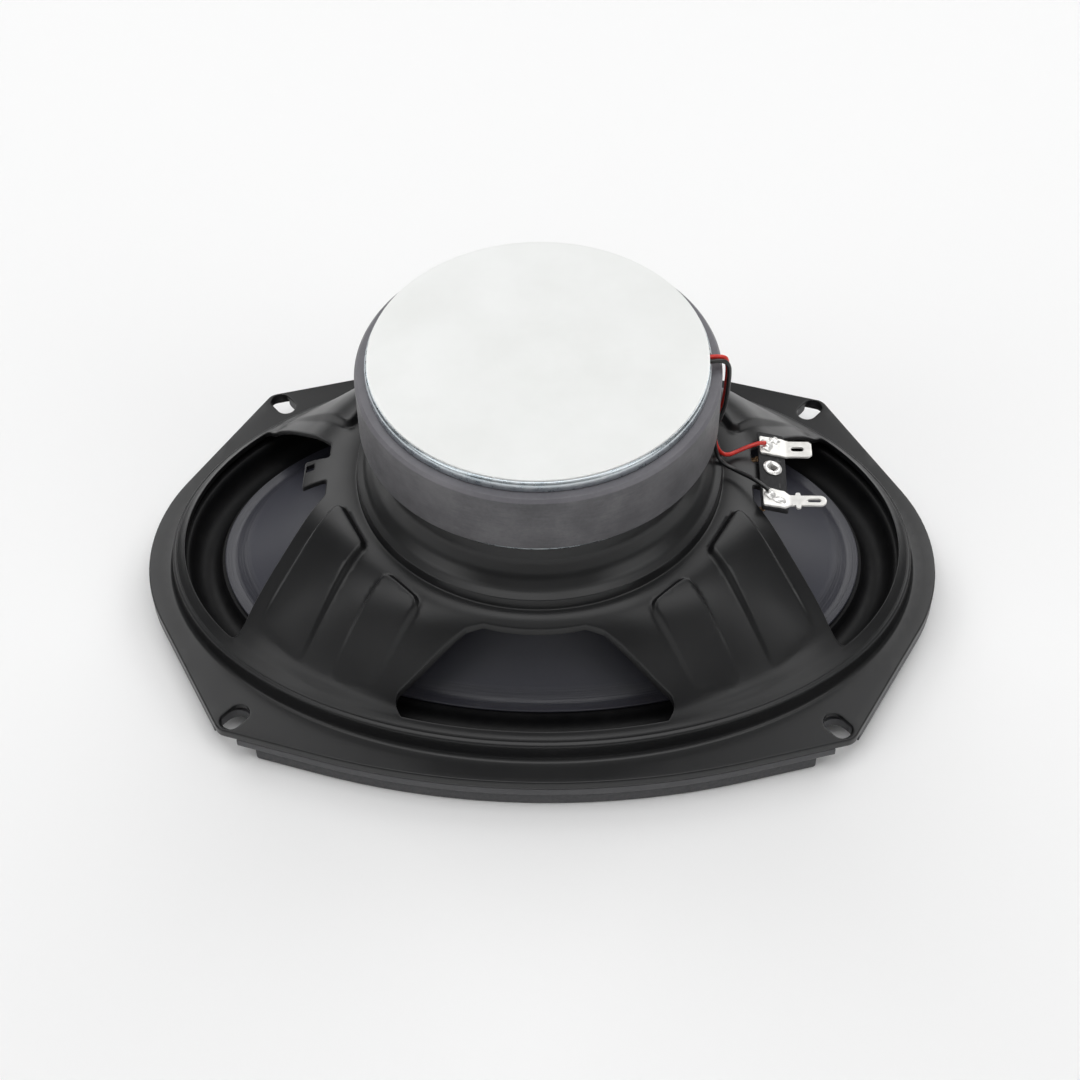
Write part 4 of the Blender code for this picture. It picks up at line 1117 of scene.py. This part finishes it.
# ---------------------------------------------------------------- surround, cone and spider
def build_surround():
    def section(angle):
        lip, roll_out = oval(LIP_OVAL, angle), oval(ROLL_OVAL, angle)
        roll_in, inner = oval(grown(CONE_OVAL, 1.0), angle), oval(grown(CONE_BEND_OVAL, -0.6), angle)
        low = CONE_EDGE_Z - 0.45
        middle, half = (roll_out + roll_in) / 2, (roll_out - roll_in) / 2
        upper = [(lip, LIP_Z + 0.5), (roll_out + 0.9, LIP_Z + 0.5), (roll_out + 0.35, LIP_Z + 0.42)]
        lower = [(lip, LIP_Z), (roll_out + 0.6, LIP_Z), (roll_out + 0.1, LIP_Z - 0.2)]
        for i in range(1, 18):
            turn = math.pi * i / 18
            base = LIP_Z + (low - LIP_Z) * i / 18
            sag = ROLL_DEPTH * math.sin(turn) ** 0.8
            upper.append((middle + (half - 0.35) * math.cos(turn), base - sag + 0.5))
            lower.append((middle + half * math.cos(turn), base - sag))
        upper += [(roll_in - 0.1, low + 0.06), (roll_in - 0.6, low), (inner, low)]
        lower += [(roll_in + 0.05, low - 0.3), (roll_in - 0.4, low - 0.5), (inner, low - 0.5)]
        return upper + lower[::-1]

    angles = np.linspace(0, 2 * np.pi, 240, endpoint=False)
    points, faces = swept_mesh(angles, section)
    points = np.array(points)
    around = np.arctan2(points[:, 1], points[:, 0])
    radius = np.hypot(points[:, 0], points[:, 1])
    fixed, moving = oval(ROLL_OVAL, around), oval(grown(CONE_OVAL, 1.0), around)
    weight = ease((fixed - radius) / (fixed - moving))
    obj = make_object(
        "surround_roll", points, faces, MAT["rubber"], ROOT, "surround", "black_rubber", 60.0, blend=weight
    )
    fix_normals(obj)


def build_cone():
    def skin(angle, share):
        bend = oval(CONE_BEND_OVAL, angle)
        radius = bend + (CONE_NECK_R - bend) * share
        rise = CONE_NECK_Z - CONE_EDGE_Z - 0.6
        return radius, CONE_EDGE_Z + 0.6 + rise * (1.12 * share - 0.12 * share * share)

    def section(angle):
        edge = oval(CONE_OVAL, angle)
        shares = np.linspace(0, 1, 26)
        outer = [(edge, CONE_EDGE_Z + CONE_SKIN - 0.2), (edge - 0.2, CONE_EDGE_Z + CONE_SKIN)]
        bend = oval(CONE_BEND_OVAL, angle)
        outer += [(bend + 1.6, CONE_EDGE_Z + CONE_SKIN), (bend + 0.7, CONE_EDGE_Z + CONE_SKIN + 0.16)]
        outer += [(r, z + CONE_SKIN) for r, z in (skin(angle, s) for s in shares)]
        inner = [(r, z - 0.1) for r, z in (skin(angle, s) for s in shares[::-1])]
        inner += [(bend + 0.8, CONE_EDGE_Z + 0.1), (edge - 0.3, CONE_EDGE_Z)]
        return outer + inner + [(edge, CONE_EDGE_Z + 0.2)]

    points, faces = swept_mesh(np.linspace(0, 2 * np.pi, 240, endpoint=False), section)
    obj = make_object("cone_body", points, faces, MAT["cone"], CONE, "cone", "cone_skin")
    fix_normals(obj)


def build_spider():
    inner, outer = SPIDER_R
    radii = np.linspace(inner, outer, 90)
    waves = np.sin((radii - inner - 3.0) / (outer - inner - 6.0) * 5 * 2 * np.pi)
    flat = ease((radii - inner - 2.0) / 2.0) * ease((outer - 2.0 - radii) / 2.0)
    height = SPIDER_Z + 0.75 * waves * flat
    profile = [(r, z + 0.25) for r, z in zip(radii, height)]
    profile += [(r, z - 0.25) for r, z in zip(radii[::-1], height[::-1])]
    points, faces = lathe_mesh(profile, 128)
    points = np.array(points)
    radius = np.hypot(points[:, 0], points[:, 1])
    weight = ease((outer - 1.5 - radius) / (outer - inner - 3.0))
    obj = make_object(
        "spider_disc", points, faces, MAT["spider"], ROOT, "spider", "spider_cloth", 70.0, blend=weight
    )
    fix_normals(obj)


build_surround()
build_cone()
build_spider()


# ---------------------------------------------------------------- motor
def build_motor():
    turned(
        "front_plate_disc",
        [(19.9, 70.95), (46.8, 70.95), (46.8, 66.6), (19.9, 66.6)],
        [0.2, 0.2, 0.5, 0.3],
        MAT["zinc"],
        replaces="front_plate",
        slot="zinc_plate",
    )
    turned(
        "magnet_ring",
        [(25.0, 89.85), (49.5, 89.85), (50.3, 88.9), (50.3, 71.1), (25.0, 71.1)],
        [0.3, 0.3, 0.3, 0.5, 0.3],
        MAT["ferrite"],
        steps=256,
        replaces="magnet",
        slot="ferrite",
    )
    plate = turned(
        "back_plate_yoke",
        [(7.0, 91.0), (11.6, 91.0), (11.6, 93.2), (47.3, 93.2),
         (47.3, 90.0), (17.6, 90.0), (17.6, 66.6), (7.0, 66.6)],
        [0.2, 0.2, 0.3, 1.2, 0.25, 0.2, 0.6, 0.3],
        MAT["zinc"],
        steps=256,
        replaces="back_plate",
        slot="zinc_plate",
    )
    groove = np.array([(9.0, -2.1), (52.0, -2.1), (52.0, 2.1), (9.0, 2.1)])
    cut_prism(plate, spaced(groove, 3.0), 91.0, 95.0)

    # The label's film follows the recess and the wire groove a little.
    angles = np.linspace(0, 2 * np.pi, 288, endpoint=False)
    radii = np.r_[np.linspace(0.5, 45.8, 100), 46.2, 46.45, 46.58, 46.6]
    points, faces = [(0.0, 0.0, 93.9 - 0.1)], []
    for r in radii:
        for a in angles:
            x, y = r * math.cos(a), r * math.sin(a)
            dip = 0.1 * float(ease((12.0 - r) / 0.9))
            if x > 0:
                dip = max(dip, 0.07 * float(ease((2.3 - abs(y)) / 0.8)))
            edge = 0.0 if r < 46.2 else 0.12 * ((r - 46.2) / 0.4) ** 2
            points.append((x, y, 93.9 - dip - edge))
    count = len(angles)
    for i in range(count):
        n = (i + 1) % count
        faces.append((0, 1 + i, 1 + n))
        for j in range(len(radii) - 1):
            a, b = 1 + j * count, 1 + (j + 1) * count
            faces.append((a + i, b + i, b + n, a + n))
    first, rim = len(points), 1 + (len(radii) - 1) * count
    points += [(46.6 * math.cos(a), 46.6 * math.sin(a), 93.28) for a in angles]
    faces += [(rim + i, first + i, first + (i + 1) % count, rim + (i + 1) % count) for i in range(count)]
    faces.append(tuple(first + i for i in range(count))[::-1])
    solid("label_disc", points, faces, MAT["label"], ROOT, "rear_label", "label_film")

    turned(
        "coil_former",
        [(18.1, 74.6), (18.5, 74.6), (18.5, 43.4), (18.1, 43.4)],
        0.08,
        MAT["former"],
        CONE,
        replaces="voice_coil_former",
        slot="former_film",
    )
    turns = []
    for i in range(43):
        z = 74.4 - (i + 0.5) * 0.27
        turns += [(19.17, z + 0.12), (19.3, z), (19.17, z - 0.12)]
    profile = [(18.8, 74.4)] + turns + [(18.8, 62.6)]
    points, faces = lathe_mesh(profile, 128)
    solid("coil_winding", points, faces, MAT["copper"], CONE, "voice_coil_winding", "copper_wire", 70.0)


build_motor()


# ---------------------------------------------------------------- terminals
SLOPE = math.tan(math.radians(BOARD_TILT_DEG))
BEND_X = BOARD_CENTRE[0] + BOARD_SIZE[0] / 2 + 0.3


def on_board(x, lift, bend_x=None):
    """Height of a sheet lying on the tilted board."""
    reached = x if bend_x is None else np.minimum(x, bend_x)
    return BOARD_CENTRE[2] - SLOPE * (reached - BOARD_CENTRE[0]) + lift


def plate_with_holes(name, outline, holes, thickness, edge, material, shape, **kw):
    """A thin plate cut from a sheet, with rounded edges, bent by shape(points)."""
    curve = bpy.data.curves.new(name, "CURVE")
    curve.dimensions = "2D"
    curve.fill_mode = "BOTH"
    curve.extrude = (thickness / 2 - edge) * MM
    curve.bevel_depth = edge * MM
    curve.bevel_resolution = 2
    for loop in (outline, *holes):
        loop = np.array(loop)
        middle = loop.mean(0)
        loop = middle + (loop - middle) * (1 - edge / np.maximum(np.abs(loop - middle).max(0), edge * 2))
        spline = curve.splines.new("POLY")
        spline.points.add(len(loop) - 1)
        spline.use_cyclic_u = True
        for point, (x, y) in zip(spline.points, loop):
            point.co = (x * MM, y * MM, 0.0, 1.0)
    holder = bpy.data.objects.new(name + "_curve", curve)
    bpy.context.scene.collection.objects.link(holder)
    graph = bpy.context.evaluated_depsgraph_get()
    mesh = bpy.data.meshes.new_from_object(holder.evaluated_get(graph))
    bpy.data.objects.remove(holder)
    work = bmesh.new()
    work.from_mesh(mesh)
    bmesh.ops.remove_doubles(work, verts=work.verts, dist=1e-7)
    low = min(v.co.x for v in work.verts)
    high = max(v.co.x for v in work.verts)
    for x in np.arange(low + 0.0007, high, 0.0007):
        everything = work.verts[:] + work.edges[:] + work.faces[:]
        bmesh.ops.bisect_plane(work, geom=everything, dist=1e-7, plane_co=(x, 0, 0), plane_no=(1, 0, 0))
    bmesh.ops.triangulate(work, faces=work.faces)
    bmesh.ops.recalc_face_normals(work, faces=work.faces)
    work.to_mesh(mesh)
    work.free()
    points = np.array([v.co for v in mesh.vertices]) / MM
    faces = [tuple(p.vertices) for p in mesh.polygons]
    bpy.data.meshes.remove(mesh)
    return make_object(name, shape(points), faces, material, ROOT, sharp=50.0, **kw)


def blob(name, centre, size, seed, material, lean=0.0):
    """A set drop of solder: a low dome with soft lumps."""
    rng = np.random.default_rng(seed)
    waves = [(rng.integers(2, 6), rng.uniform(0, 6.3), rng.uniform(0.04, 0.13)) for _ in range(5)]
    points, faces = [], []
    rows, steps = 14, 36
    for j in range(rows + 1):
        lift = math.pi * j / rows
        for i in range(steps):
            a = 2 * math.pi * i / steps
            wobble = 1 + sum(w * math.sin(n * a + p + j * 0.35) for n, p, w in waves) * math.sin(lift)
            x = size[0] * math.sin(lift) * math.cos(a) * wobble
            y = size[1] * math.sin(lift) * math.sin(a) * wobble
            z = size[2] * math.cos(lift) * (1.0 if lift < math.pi / 2 else 0.25)
            z *= 1 + 0.2 * math.sin(2.3 * x + seed) * math.sin(1.9 * y)
            points.append((centre[0] + x, centre[1] + y, centre[2] + z - lean * x))
    for j in range(rows):
        for i in range(steps):
            n = (i + 1) % steps
            faces.append((j * steps + i, (j + 1) * steps + i, (j + 1) * steps + n, j * steps + n))
    obj = make_object(name, points, faces, material, ROOT, slot="tinned_brass", sharp=0)
    work = bmesh.new()
    work.from_mesh(obj.data)
    bmesh.ops.remove_doubles(work, verts=work.verts, dist=1e-7)
    bmesh.ops.recalc_face_normals(work, faces=work.faces)
    work.to_mesh(obj.data)
    work.free()
    return obj


def build_terminals():
    cx, cy, _ = BOARD_CENTRE
    lx, ly, thick = BOARD_SIZE

    # The board is three plies of fibre: thin grooves run round its edge.
    rows = [(0.25, -0.8), (0.04, -0.72), (0.0, -0.6), (0.0, -0.34), (0.16, -0.28)]
    rows += [(0.16, -0.22), (0.0, -0.16), (0.0, 0.16), (0.16, 0.22), (0.16, 0.28)]
    rows += [(0.0, 0.34), (0.0, 0.62), (0.05, 0.74), (0.2, 0.8)]
    points, faces = [], []
    count = 0
    for inset, z in rows:
        half_x, half_y = lx / 2 - inset, ly / 2 - inset
        corners = [(cx + sx * half_x, cy + sy * half_y) for sx, sy in ((1, 1), (-1, 1), (-1, -1), (1, -1))]
        loop = spaced(rounded(corners, 0.6, 5), 1.2)
        count = len(loop)
        points.append(np.c_[loop, np.full(count, z)])
    if len({len(p) for p in points}) > 1:
        corners = [(cx + sx * lx / 2, cy + sy * ly / 2) for sx, sy in ((1, 1), (-1, 1), (-1, -1), (1, -1))]
        base = spaced(rounded(corners, 0.6, 5), 1.2)
        count = len(base)
        middle = np.array([cx, cy])
        points = []
        for inset, z in rows:
            drawn_in = 1 - 2 * inset / np.array([lx, ly])
            points.append(np.c_[middle + (base - middle) * drawn_in, np.full(count, z)])
    points = np.concatenate(points)
    points[:, 2] += BOARD_CENTRE[2] - SLOPE * (points[:, 0] - cx)
    for j in range(len(rows) - 1):
        for i in range(count):
            n = (i + 1) % count
            faces.append((j * count + i, j * count + n, (j + 1) * count + n, (j + 1) * count + i))
    faces += [tuple(range(count))[::-1], tuple(range((len(rows) - 1) * count, len(rows) * count))]
    board = solid("board_plies", points, faces, MAT["board"], ROOT, "terminal_board", "fibre_board", 30.0)
    cut_prism(board, slot_loop((67.2, 1.8), 3.6, 3.6001, 0.0), 40.0, 54.0)

    lift = thick / 2 + 0.42
    start = cx - lx / 2 + 0.5

    def lay(crumple, seed):
        def shape(points):
            x, y = points[:, 0], points[:, 1]
            near = ease((BEND_X - 0.8 - x) / 1.5)
            lumps = np.sin(2.1 * x + seed) * np.sin(1.7 * y + 2 * seed)
            lumps = lumps + 0.5 * np.sin(4.3 * y - seed) * np.sin(3.1 * x)
            z = points[:, 2] + on_board(x, lift, BEND_X) + crumple * near * lumps
            return np.c_[x, y, z]

        return shape

    y = 9.9
    pad = [(start, 6.7), (start, 13.2), (70.2, 13.6), (72.0, 13.1), (72.6, 12.9), (78.2, 12.9), (79.0, 12.1)]
    pad += [(79.0, 7.7), (78.2, 6.9), (72.6, 6.9), (71.6, 6.7)]
    pad = rounded(pad, [0.3, 0.4, 0.5, 0.4, 0.4, 0.5, 0.5, 0.5, 0.5, 0.4, 0.3], 4)
    wide_slot = slot_loop((74.8, y), 2.3, 4.3, 0.0)
    plate_with_holes(
        "lug_wide",
        spaced(pad, 0.6),
        [wide_slot],
        0.8,
        0.14,
        MAT["tin"],
        lay(0.07, 1.0),
        replaces="terminal_wide",
        slot="tinned_brass",
    )
    y = -10.2
    turns = np.linspace(-math.pi / 2, math.pi / 2, 15)
    tip = [(80.2 + 1.8 * math.cos(a), y + 1.8 * math.sin(a)) for a in turns]
    pad = [(start, y - 3.4), (70.0, y - 3.1), (71.6, y - 1.9), (73.3, y - 1.8)]
    pad += [(73.4, y - 2.9), (74.5, y - 2.9)]
    pad += [(74.6, y - 1.75)] + tip + [(74.6, y + 1.75), (74.5, y + 2.9), (73.4, y + 2.9), (73.3, y + 1.8)]
    pad += [(71.6, y + 1.9), (70.0, y + 3.1), (start, y + 3.4)]
    narrow_slot = slot_loop((78.5, y), 1.9, 4.4, 0.0)
    plate_with_holes(
        "lug_narrow",
        spaced(rounded(pad, 0.3, 3), 0.5),
        [narrow_slot],
        0.8,
        0.14,
        MAT["tin"],
        lay(0.07, 2.3),
        replaces="terminal_narrow",
        slot="tinned_brass",
    )

    # Solder where each wire is joined.
    for name, x, y, size, seed in (
        ("solder_wide", 65.9, 9.6, (1.7, 2.1, 0.75), 4),
        ("solder_wide_rear", 68.2, 12.3, (1.5, 1.2, 0.5), 9),
        ("solder_narrow", 65.8, -9.3, (1.6, 2.0, 0.75), 5),
        ("solder_narrow_rear", 68.4, -11.0, (1.8, 1.3, 0.5), 12),
    ):
        blob(name, (x, y, on_board(x, lift + 0.45)), size, seed, MAT["solder"], SLOPE)

    # The eyelet's rolled rim goes to a square hole.
    angles = np.linspace(0, 2 * np.pi, 96, endpoint=False)

    def square(angle, half):
        return half / max(abs(math.cos(angle + 0.6)), abs(math.sin(angle + 0.6))) ** 0.9

    def section(angle):
        hole = square(angle, 1.05)
        return [
            (hole, -2.0),
            (hole, -0.3),
            (hole + 0.1, 0.1),
            (hole + 0.35, 0.3),
            (1.9, 0.42),
            (2.3, 0.34),
            (2.6, 0.12),
            (2.75, -0.05),
            (2.72, -0.22),
            (2.4, -0.3),
            (1.75, -0.32),
            (1.7, -2.0),
        ]

    points, faces = swept_mesh(angles, section)
    points = np.array(points)
    points += (67.2, 1.8, BOARD_CENTRE[2] + thick / 2 + 0.36)
    points[:, 2] -= SLOPE * (points[:, 0] - 67.2)
    solid("eyelet_rim", points, faces, MAT["solder"], ROOT, "terminal_eyelet", "steel")

    # Polarity marks: a plus and a minus, faint on the black fibre.
    a, b = 0.9, 0.2
    plus = [(b, b), (b, a), (-b, a), (-b, b), (-a, b), (-a, -b)]
    plus += [(-b, -b), (-b, -a), (b, -a), (b, -b), (a, -b), (a, b)]
    minus = [(b, a), (-b, a), (-b, -a), (b, -a)]
    for name, y, outline in (("mark_plus", 5.0, plus), ("mark_minus", -4.6, minus)):
        loop = np.array(outline)[::-1] + (69.0, y)
        points = [(x, y0, on_board(x, thick / 2 + h)) for h in (-0.02, 0.035) for x, y0 in loop]
        n = len(loop)
        faces = [tuple(range(n))[::-1], tuple(range(n, 2 * n))]
        faces += [(i, (i + 1) % n, n + (i + 1) % n, n + i) for i in range(n)]
        solid(name, points, faces, MAT["mark"], ROOT, slot="fibre_board")


build_terminals()


# ---------------------------------------------------------------- wires
def build_wires():
    run = [(52.0, 89.6), (52.3, 87.0), (52.3, 83.5), (52.2, 79.5)]
    run += [(51.9, 75.0), (51.1, 71.0), (50.2, 67.5), (49.8, 64.0)]
    tails = {
        "red": [
            (49.8, 2.0, 60.2), (50.5, 2.1, 56.9), (51.6, 2.6, 54.0), (53.1, 3.4, 51.8), (54.9, 4.4, 50.8),
            (57.3, 6.0, 50.5), (60.4, 7.7, 50.6), (63.2, 8.8, 50.8), (65.4, 9.4, 50.5),
        ],
        "black": [
            (49.8, -0.1, 60.2), (50.3, -0.1, 57.2), (51.2, -0.3, 54.4), (52.9, -0.8, 52.3),
            (55.4, -2.0, 51.5), (58.2, -3.8, 51.4), (60.8, -5.7, 51.5), (63.3, -7.6, 51.2),
            (65.4, -9.2, 50.5),
        ],
    }
    for name, y, side in (("red", 1.9, 0.9), ("black", 0.35, -0.9)):
        inward = 0.45 if name == "red" else 0.0
        route = [(5.2, side, 25.9), (5.2, side, 34.0), (5.1, side, 50.0), (5.1, side, 68.0)]
        route += [(5.1, side, 84.0), (5.4, side, 90.2), (6.6, side, 91.9), (9.6, side, 92.2)]
        route += [(20.0, side, 92.2), (34.0, side, 92.2)]
        route += [(43.0, side, 92.3), (46.6, side, 92.6), (49.2, (side + y) / 2, 92.3), (51.0, y, 91.3)]
        route += [(radius - inward, y, z) for radius, z in run]
        route += tails[name]
        line = smooth_line(route, 12)
        points, faces, _ = tube_mesh(line, 0.62, 16)
        solid(f"lead_{name}", points, faces, MAT[name], ROOT, f"wire_{name}", f"{name}_insulation")
        # The bared end runs into the solder.
        tail = line[-1] + np.outer(np.linspace(0, 1, 6), line[-1] - line[-3]) * 1.4
        points, faces, _ = tube_mesh(tail, 0.36, 12)
        solid(f"bared_end_{name}", points, faces, MAT["tin"], ROOT, slot="tinned_brass")
    for name, end_y, near_y in (("wide", 10.4, 8.0), ("narrow", -9.9, -8.0)):
        route = [(66.0, end_y, 45.2), (64.6, end_y * 0.99, 43.4), (60.0, end_y * 0.97, 41.5)]
        route += [(54.0, end_y * 0.93, 42.2), (48.0, near_y, 41.6)]
        route += [(42.5, near_y, 39.0), (39.4, near_y, 37.0)]
        line = smooth_line(route, 26)
        _, _, frames = tube_mesh(line, 0.5, 6)
        lengths = np.r_[0, np.cumsum(np.linalg.norm(np.diff(line, axis=0), axis=1))]
        points, faces, weight = [], [], []
        for k in range(6):
            way = 1 if k % 2 else -1
            strand = []
            for (normal, side), p, s in zip(frames, line, lengths):
                a = way * s * 1.5 + (k // 2) * 2 * math.pi / 3
                wide = 0.48 + 0.1 * math.sin(3 * s + k)
                strand.append(p + wide * (math.cos(a) * normal + math.sin(a) * side))
            pts, fcs, _ = tube_mesh(strand, 0.26, 7)
            faces += [tuple(len(points) + i for i in f) for f in fcs]
            points += list(pts)
            weight += list(np.repeat(ease((lengths - 3) / (lengths[-1] - 4)), 7))
        fix_normals(
            make_object(
                f"tinsel_{name}",
                points,
                faces,
                MAT["braid"],
                ROOT,
                f"tinsel_lead_{name}",
                "copper_braid",
                60.0,
                blend=weight,
            )
        )


build_wires()


# ---------------------------------------------------------------- tweeter
def build_tweeter():
    turned(
        "post_rod", [(0.0, 93.0), (3.0, 93.0), (3.0, 25.6), (0.0, 25.6)], [0, 0.3, 0.3, 0], MAT["steel"],
        steps=64, replaces="tweeter_post", slot="steel",
    )
    washer = turned(
        "washer_disc", [(3.4, 91.9), (10.8, 91.9), (10.8, 91.3), (3.4, 91.3)], 0.12, MAT["steel"],
        steps=96, replaces="post_washer", slot="steel",
    )
    cut_prism(washer, np.array([(3.0, -2.2), (13.0, -2.2), (13.0, 2.2), (3.0, 2.2)]), 90.0, 94.0)
    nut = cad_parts["post_nut"].data.materials
    nut.clear()
    nut.append(MAT["steel"])
    housing = turned(
        "housing_shell",
        [(3.4, 27.0), (17.0, 27.0), (20.5, 24.0), (22.0, 13.0), (22.0, 9.0), (18.0, 9.0), (13.2, 13.4),
         (13.2, 14.4), (14.4, 14.4), (14.4, 25.5), (3.4, 25.5)],
        [0.2, 1.2, 2.5, 3.0, 0.8, 0.8, 0.3, 0.2, 0.2, 0.4, 0.2],
        MAT["plastic"], steps=160, replaces="tweeter_housing", slot="trim_plastic",
    )
    cut_prism(housing, np.array([(2.0, -1.9), (7.2, -1.9), (7.2, 1.9), (2.0, 1.9)]), 22.0, 30.0)
    turned(
        "cup_yoke", [(0.0, 25.2), (14.0, 25.2), (14.0, 16.6), (11.8, 16.6), (11.8, 23.6), (0.0, 23.6)],
        [0, 0.8, 0.2, 0.2, 0.4, 0], MAT["steel"], steps=128, replaces="tweeter_cup", slot="steel",
    )
    turned(
        "cup_magnet", [(0.0, 23.3), (8.8, 23.3), (8.8, 18.6), (0.0, 18.6)], [0, 0.4, 0.4, 0], MAT["ferrite"],
        steps=96, replaces="tweeter_magnet", slot="ferrite",
    )
    turned(
        "pole_disc", [(0.0, 18.3), (9.3, 18.3), (9.3, 16.6), (0.0, 16.6)], [0, 0.2, 0.3, 0], MAT["steel"],
        steps=96, replaces="tweeter_pole_plate", slot="steel",
    )
    turned(
        "dome_coil", [(10.0, 19.6), (10.6, 19.6), (10.6, 15.9), (10.0, 15.9)], 0.1, MAT["copper"], DOME,
        steps=96, replaces="tweeter_coil", slot="copper_wire",
    )
    top, low = [], []
    for i in range(25):
        turn = math.radians(90 * i / 24)
        low.append((10.2 * math.sin(turn), 15.5 - 4.0 * math.cos(turn)))
        top.append((9.75 * math.sin(turn), 15.45 - 3.55 * math.cos(turn)))
    roll = [(10.3 + 2.2 * t, 15.45 - 0.5 * math.sin(math.pi * t)) for t in np.linspace(0.08, 1, 10)]
    profile = top[:-1] + [(9.75, 15.5)] + [(r, z + 0.3) for r, z in roll] + [(12.9, 15.75), (12.9, 15.4)]
    profile += roll[::-1] + low[:-1][::-1]
    points, faces = lathe_mesh(profile, 128)
    solid("dome_film", points, faces, MAT["dome"], DOME, "tweeter_diaphragm", "tweeter_dome_film", 60.0)


build_tweeter()


# ---------------------------------------------------------------- stage, lights and camera
FLOOR_COLOUR, FLOOR_FADE, BACKDROP = (0.9, 0.9, 0.9), (0.6, 1.2), 0.86


def floor_material():
    """Pale floor that turns into the backdrop's own white far from the object."""
    m = Material("looks_floor", FLOOR_COLOUR, 0.7, Emission_Color=(1.0, 1.0, 1.0, 1.0))
    far = m.spread(m.radius(), *FLOOR_FADE)
    m.colour(m.mix(far, FLOOR_COLOUR, (0.0, 0.0, 0.0)))
    m.link(m.math("MULTIPLY", far, BACKDROP), m.shader.inputs["Emission Strength"])
    return m.data


def area_light(name, energy, size, place, aim):
    data = bpy.data.lights.new(name, "AREA")
    data.shape = "RECTANGLE"
    data.size, data.size_y = size
    data.energy = energy
    obj = bpy.data.objects.new(name, data)
    obj.location = place
    obj.rotation_euler = (Vector(aim) - Vector(place)).to_track_quat("-Z", "Y").to_euler()
    bpy.context.scene.collection.objects.link(obj)


FLOOR_HALF, FLOOR_DROP = 6.0, 0.0004
SKY = (("From Min", 0.80), ("From Max", 0.98), ("To Min", 0.11), ("To Max", 0.55))
# Name, watts, size, place, aim; sizes and places in metres.
STUDIO_LIGHTS = (
    ("key_top", 9.0, (1.5, 1.1), (0.0, -0.15, 1.5), (0.0, 0.0, 0.05)),
    ("fill_front", 1.4, (1.2, 0.7), (0.0, -1.3, 1.2), (0.0, 0.0, 0.05)),
    ("side_left", 4.6, (0.9, 0.9), (-1.15, -0.7, 0.95), (0.0, 0.0, 0.04)),
    ("side_right", 4.6, (0.9, 0.9), (1.15, -0.7, 0.95), (0.0, 0.0, 0.04)),
    ("back_left", 6.3, (0.9, 0.9), (-0.72, 0.9, 0.95), (-0.05, 0.0, 0.03)),
    ("back_right", 6.3, (0.9, 0.9), (0.72, 0.9, 0.95), (0.05, 0.0, 0.03)),
)


def build_stage():
    mesh = bpy.data.meshes.new("floor")
    half = FLOOR_HALF
    corners = [(-half, -half, 0), (half, -half, 0), (half, half, 0), (-half, half, 0)]
    mesh.from_pydata(corners, [], [(0, 1, 2, 3)])
    floor = bpy.data.objects.new("floor", mesh)
    floor.location.z = -FLOOR_DROP
    bpy.context.scene.collection.objects.link(floor)
    mesh.materials.append(floor_material())
    world = bpy.data.worlds.new("studio")
    bpy.context.scene.world = world
    world.use_nodes = True
    # The camera sees a pale studio; the object is lit by a sky that is dim low down.
    tree = world.node_tree
    background = tree.nodes["Background"]
    place = tree.nodes.new("ShaderNodeTexCoord")
    split = tree.nodes.new("ShaderNodeSeparateXYZ")
    tree.links.new(place.outputs["Generated"], split.inputs[0])
    rise = tree.nodes.new("ShaderNodeMapRange")
    tree.links.new(split.outputs[2], rise.inputs["Value"])
    for key, value in SKY:
        rise.inputs[key].default_value = value
    seen = tree.nodes.new("ShaderNodeLightPath")
    mix = tree.nodes.new("ShaderNodeMix")
    tree.links.new(seen.outputs["Is Camera Ray"], mix.inputs[0])
    tree.links.new(rise.outputs[0], mix.inputs[2])
    mix.inputs[3].default_value = BACKDROP
    background.inputs["Color"].default_value = (1.0, 1.0, 1.0, 1.0)
    tree.links.new(mix.outputs[0], background.inputs["Strength"])
    for light in STUDIO_LIGHTS:
        area_light(*light)


VIEW_ELEVATION, VIEW_TURN, VIEW_ROLL = math.radians(48.949), math.radians(2.111), math.radians(0.873)
VIEW_DISTANCE, VIEW_AIM = 0.593203, (-0.000206, 0.0, 0.017078)
SENSOR_MM, LENS_MM = 36.0, 65.772333


def build_camera():
    """The photograph's viewing angle: from the front, a little under 49 degrees up."""
    elevation, aim = VIEW_ELEVATION, Vector(VIEW_AIM)
    back = Vector((0.0, -math.cos(elevation), math.sin(elevation)))
    data = bpy.data.cameras.new("camera")
    data.sensor_width = SENSOR_MM
    data.lens = LENS_MM
    data.clip_start, data.clip_end = 0.01, 50.0
    camera = bpy.data.objects.new("camera", data)
    bpy.context.scene.collection.objects.link(camera)
    face = (-back).to_track_quat("-Z", "Y").to_matrix().to_4x4()
    place = Matrix.Translation(aim + back * VIEW_DISTANCE) @ face @ Matrix.Rotation(-VIEW_ROLL, 4, "Z")
    camera.matrix_world = Matrix.Rotation(VIEW_TURN, 4, "Z") @ place
    bpy.context.scene.camera = camera


build_stage()
build_camera()
bpy.context.scene.view_settings.view_transform = "Standard"
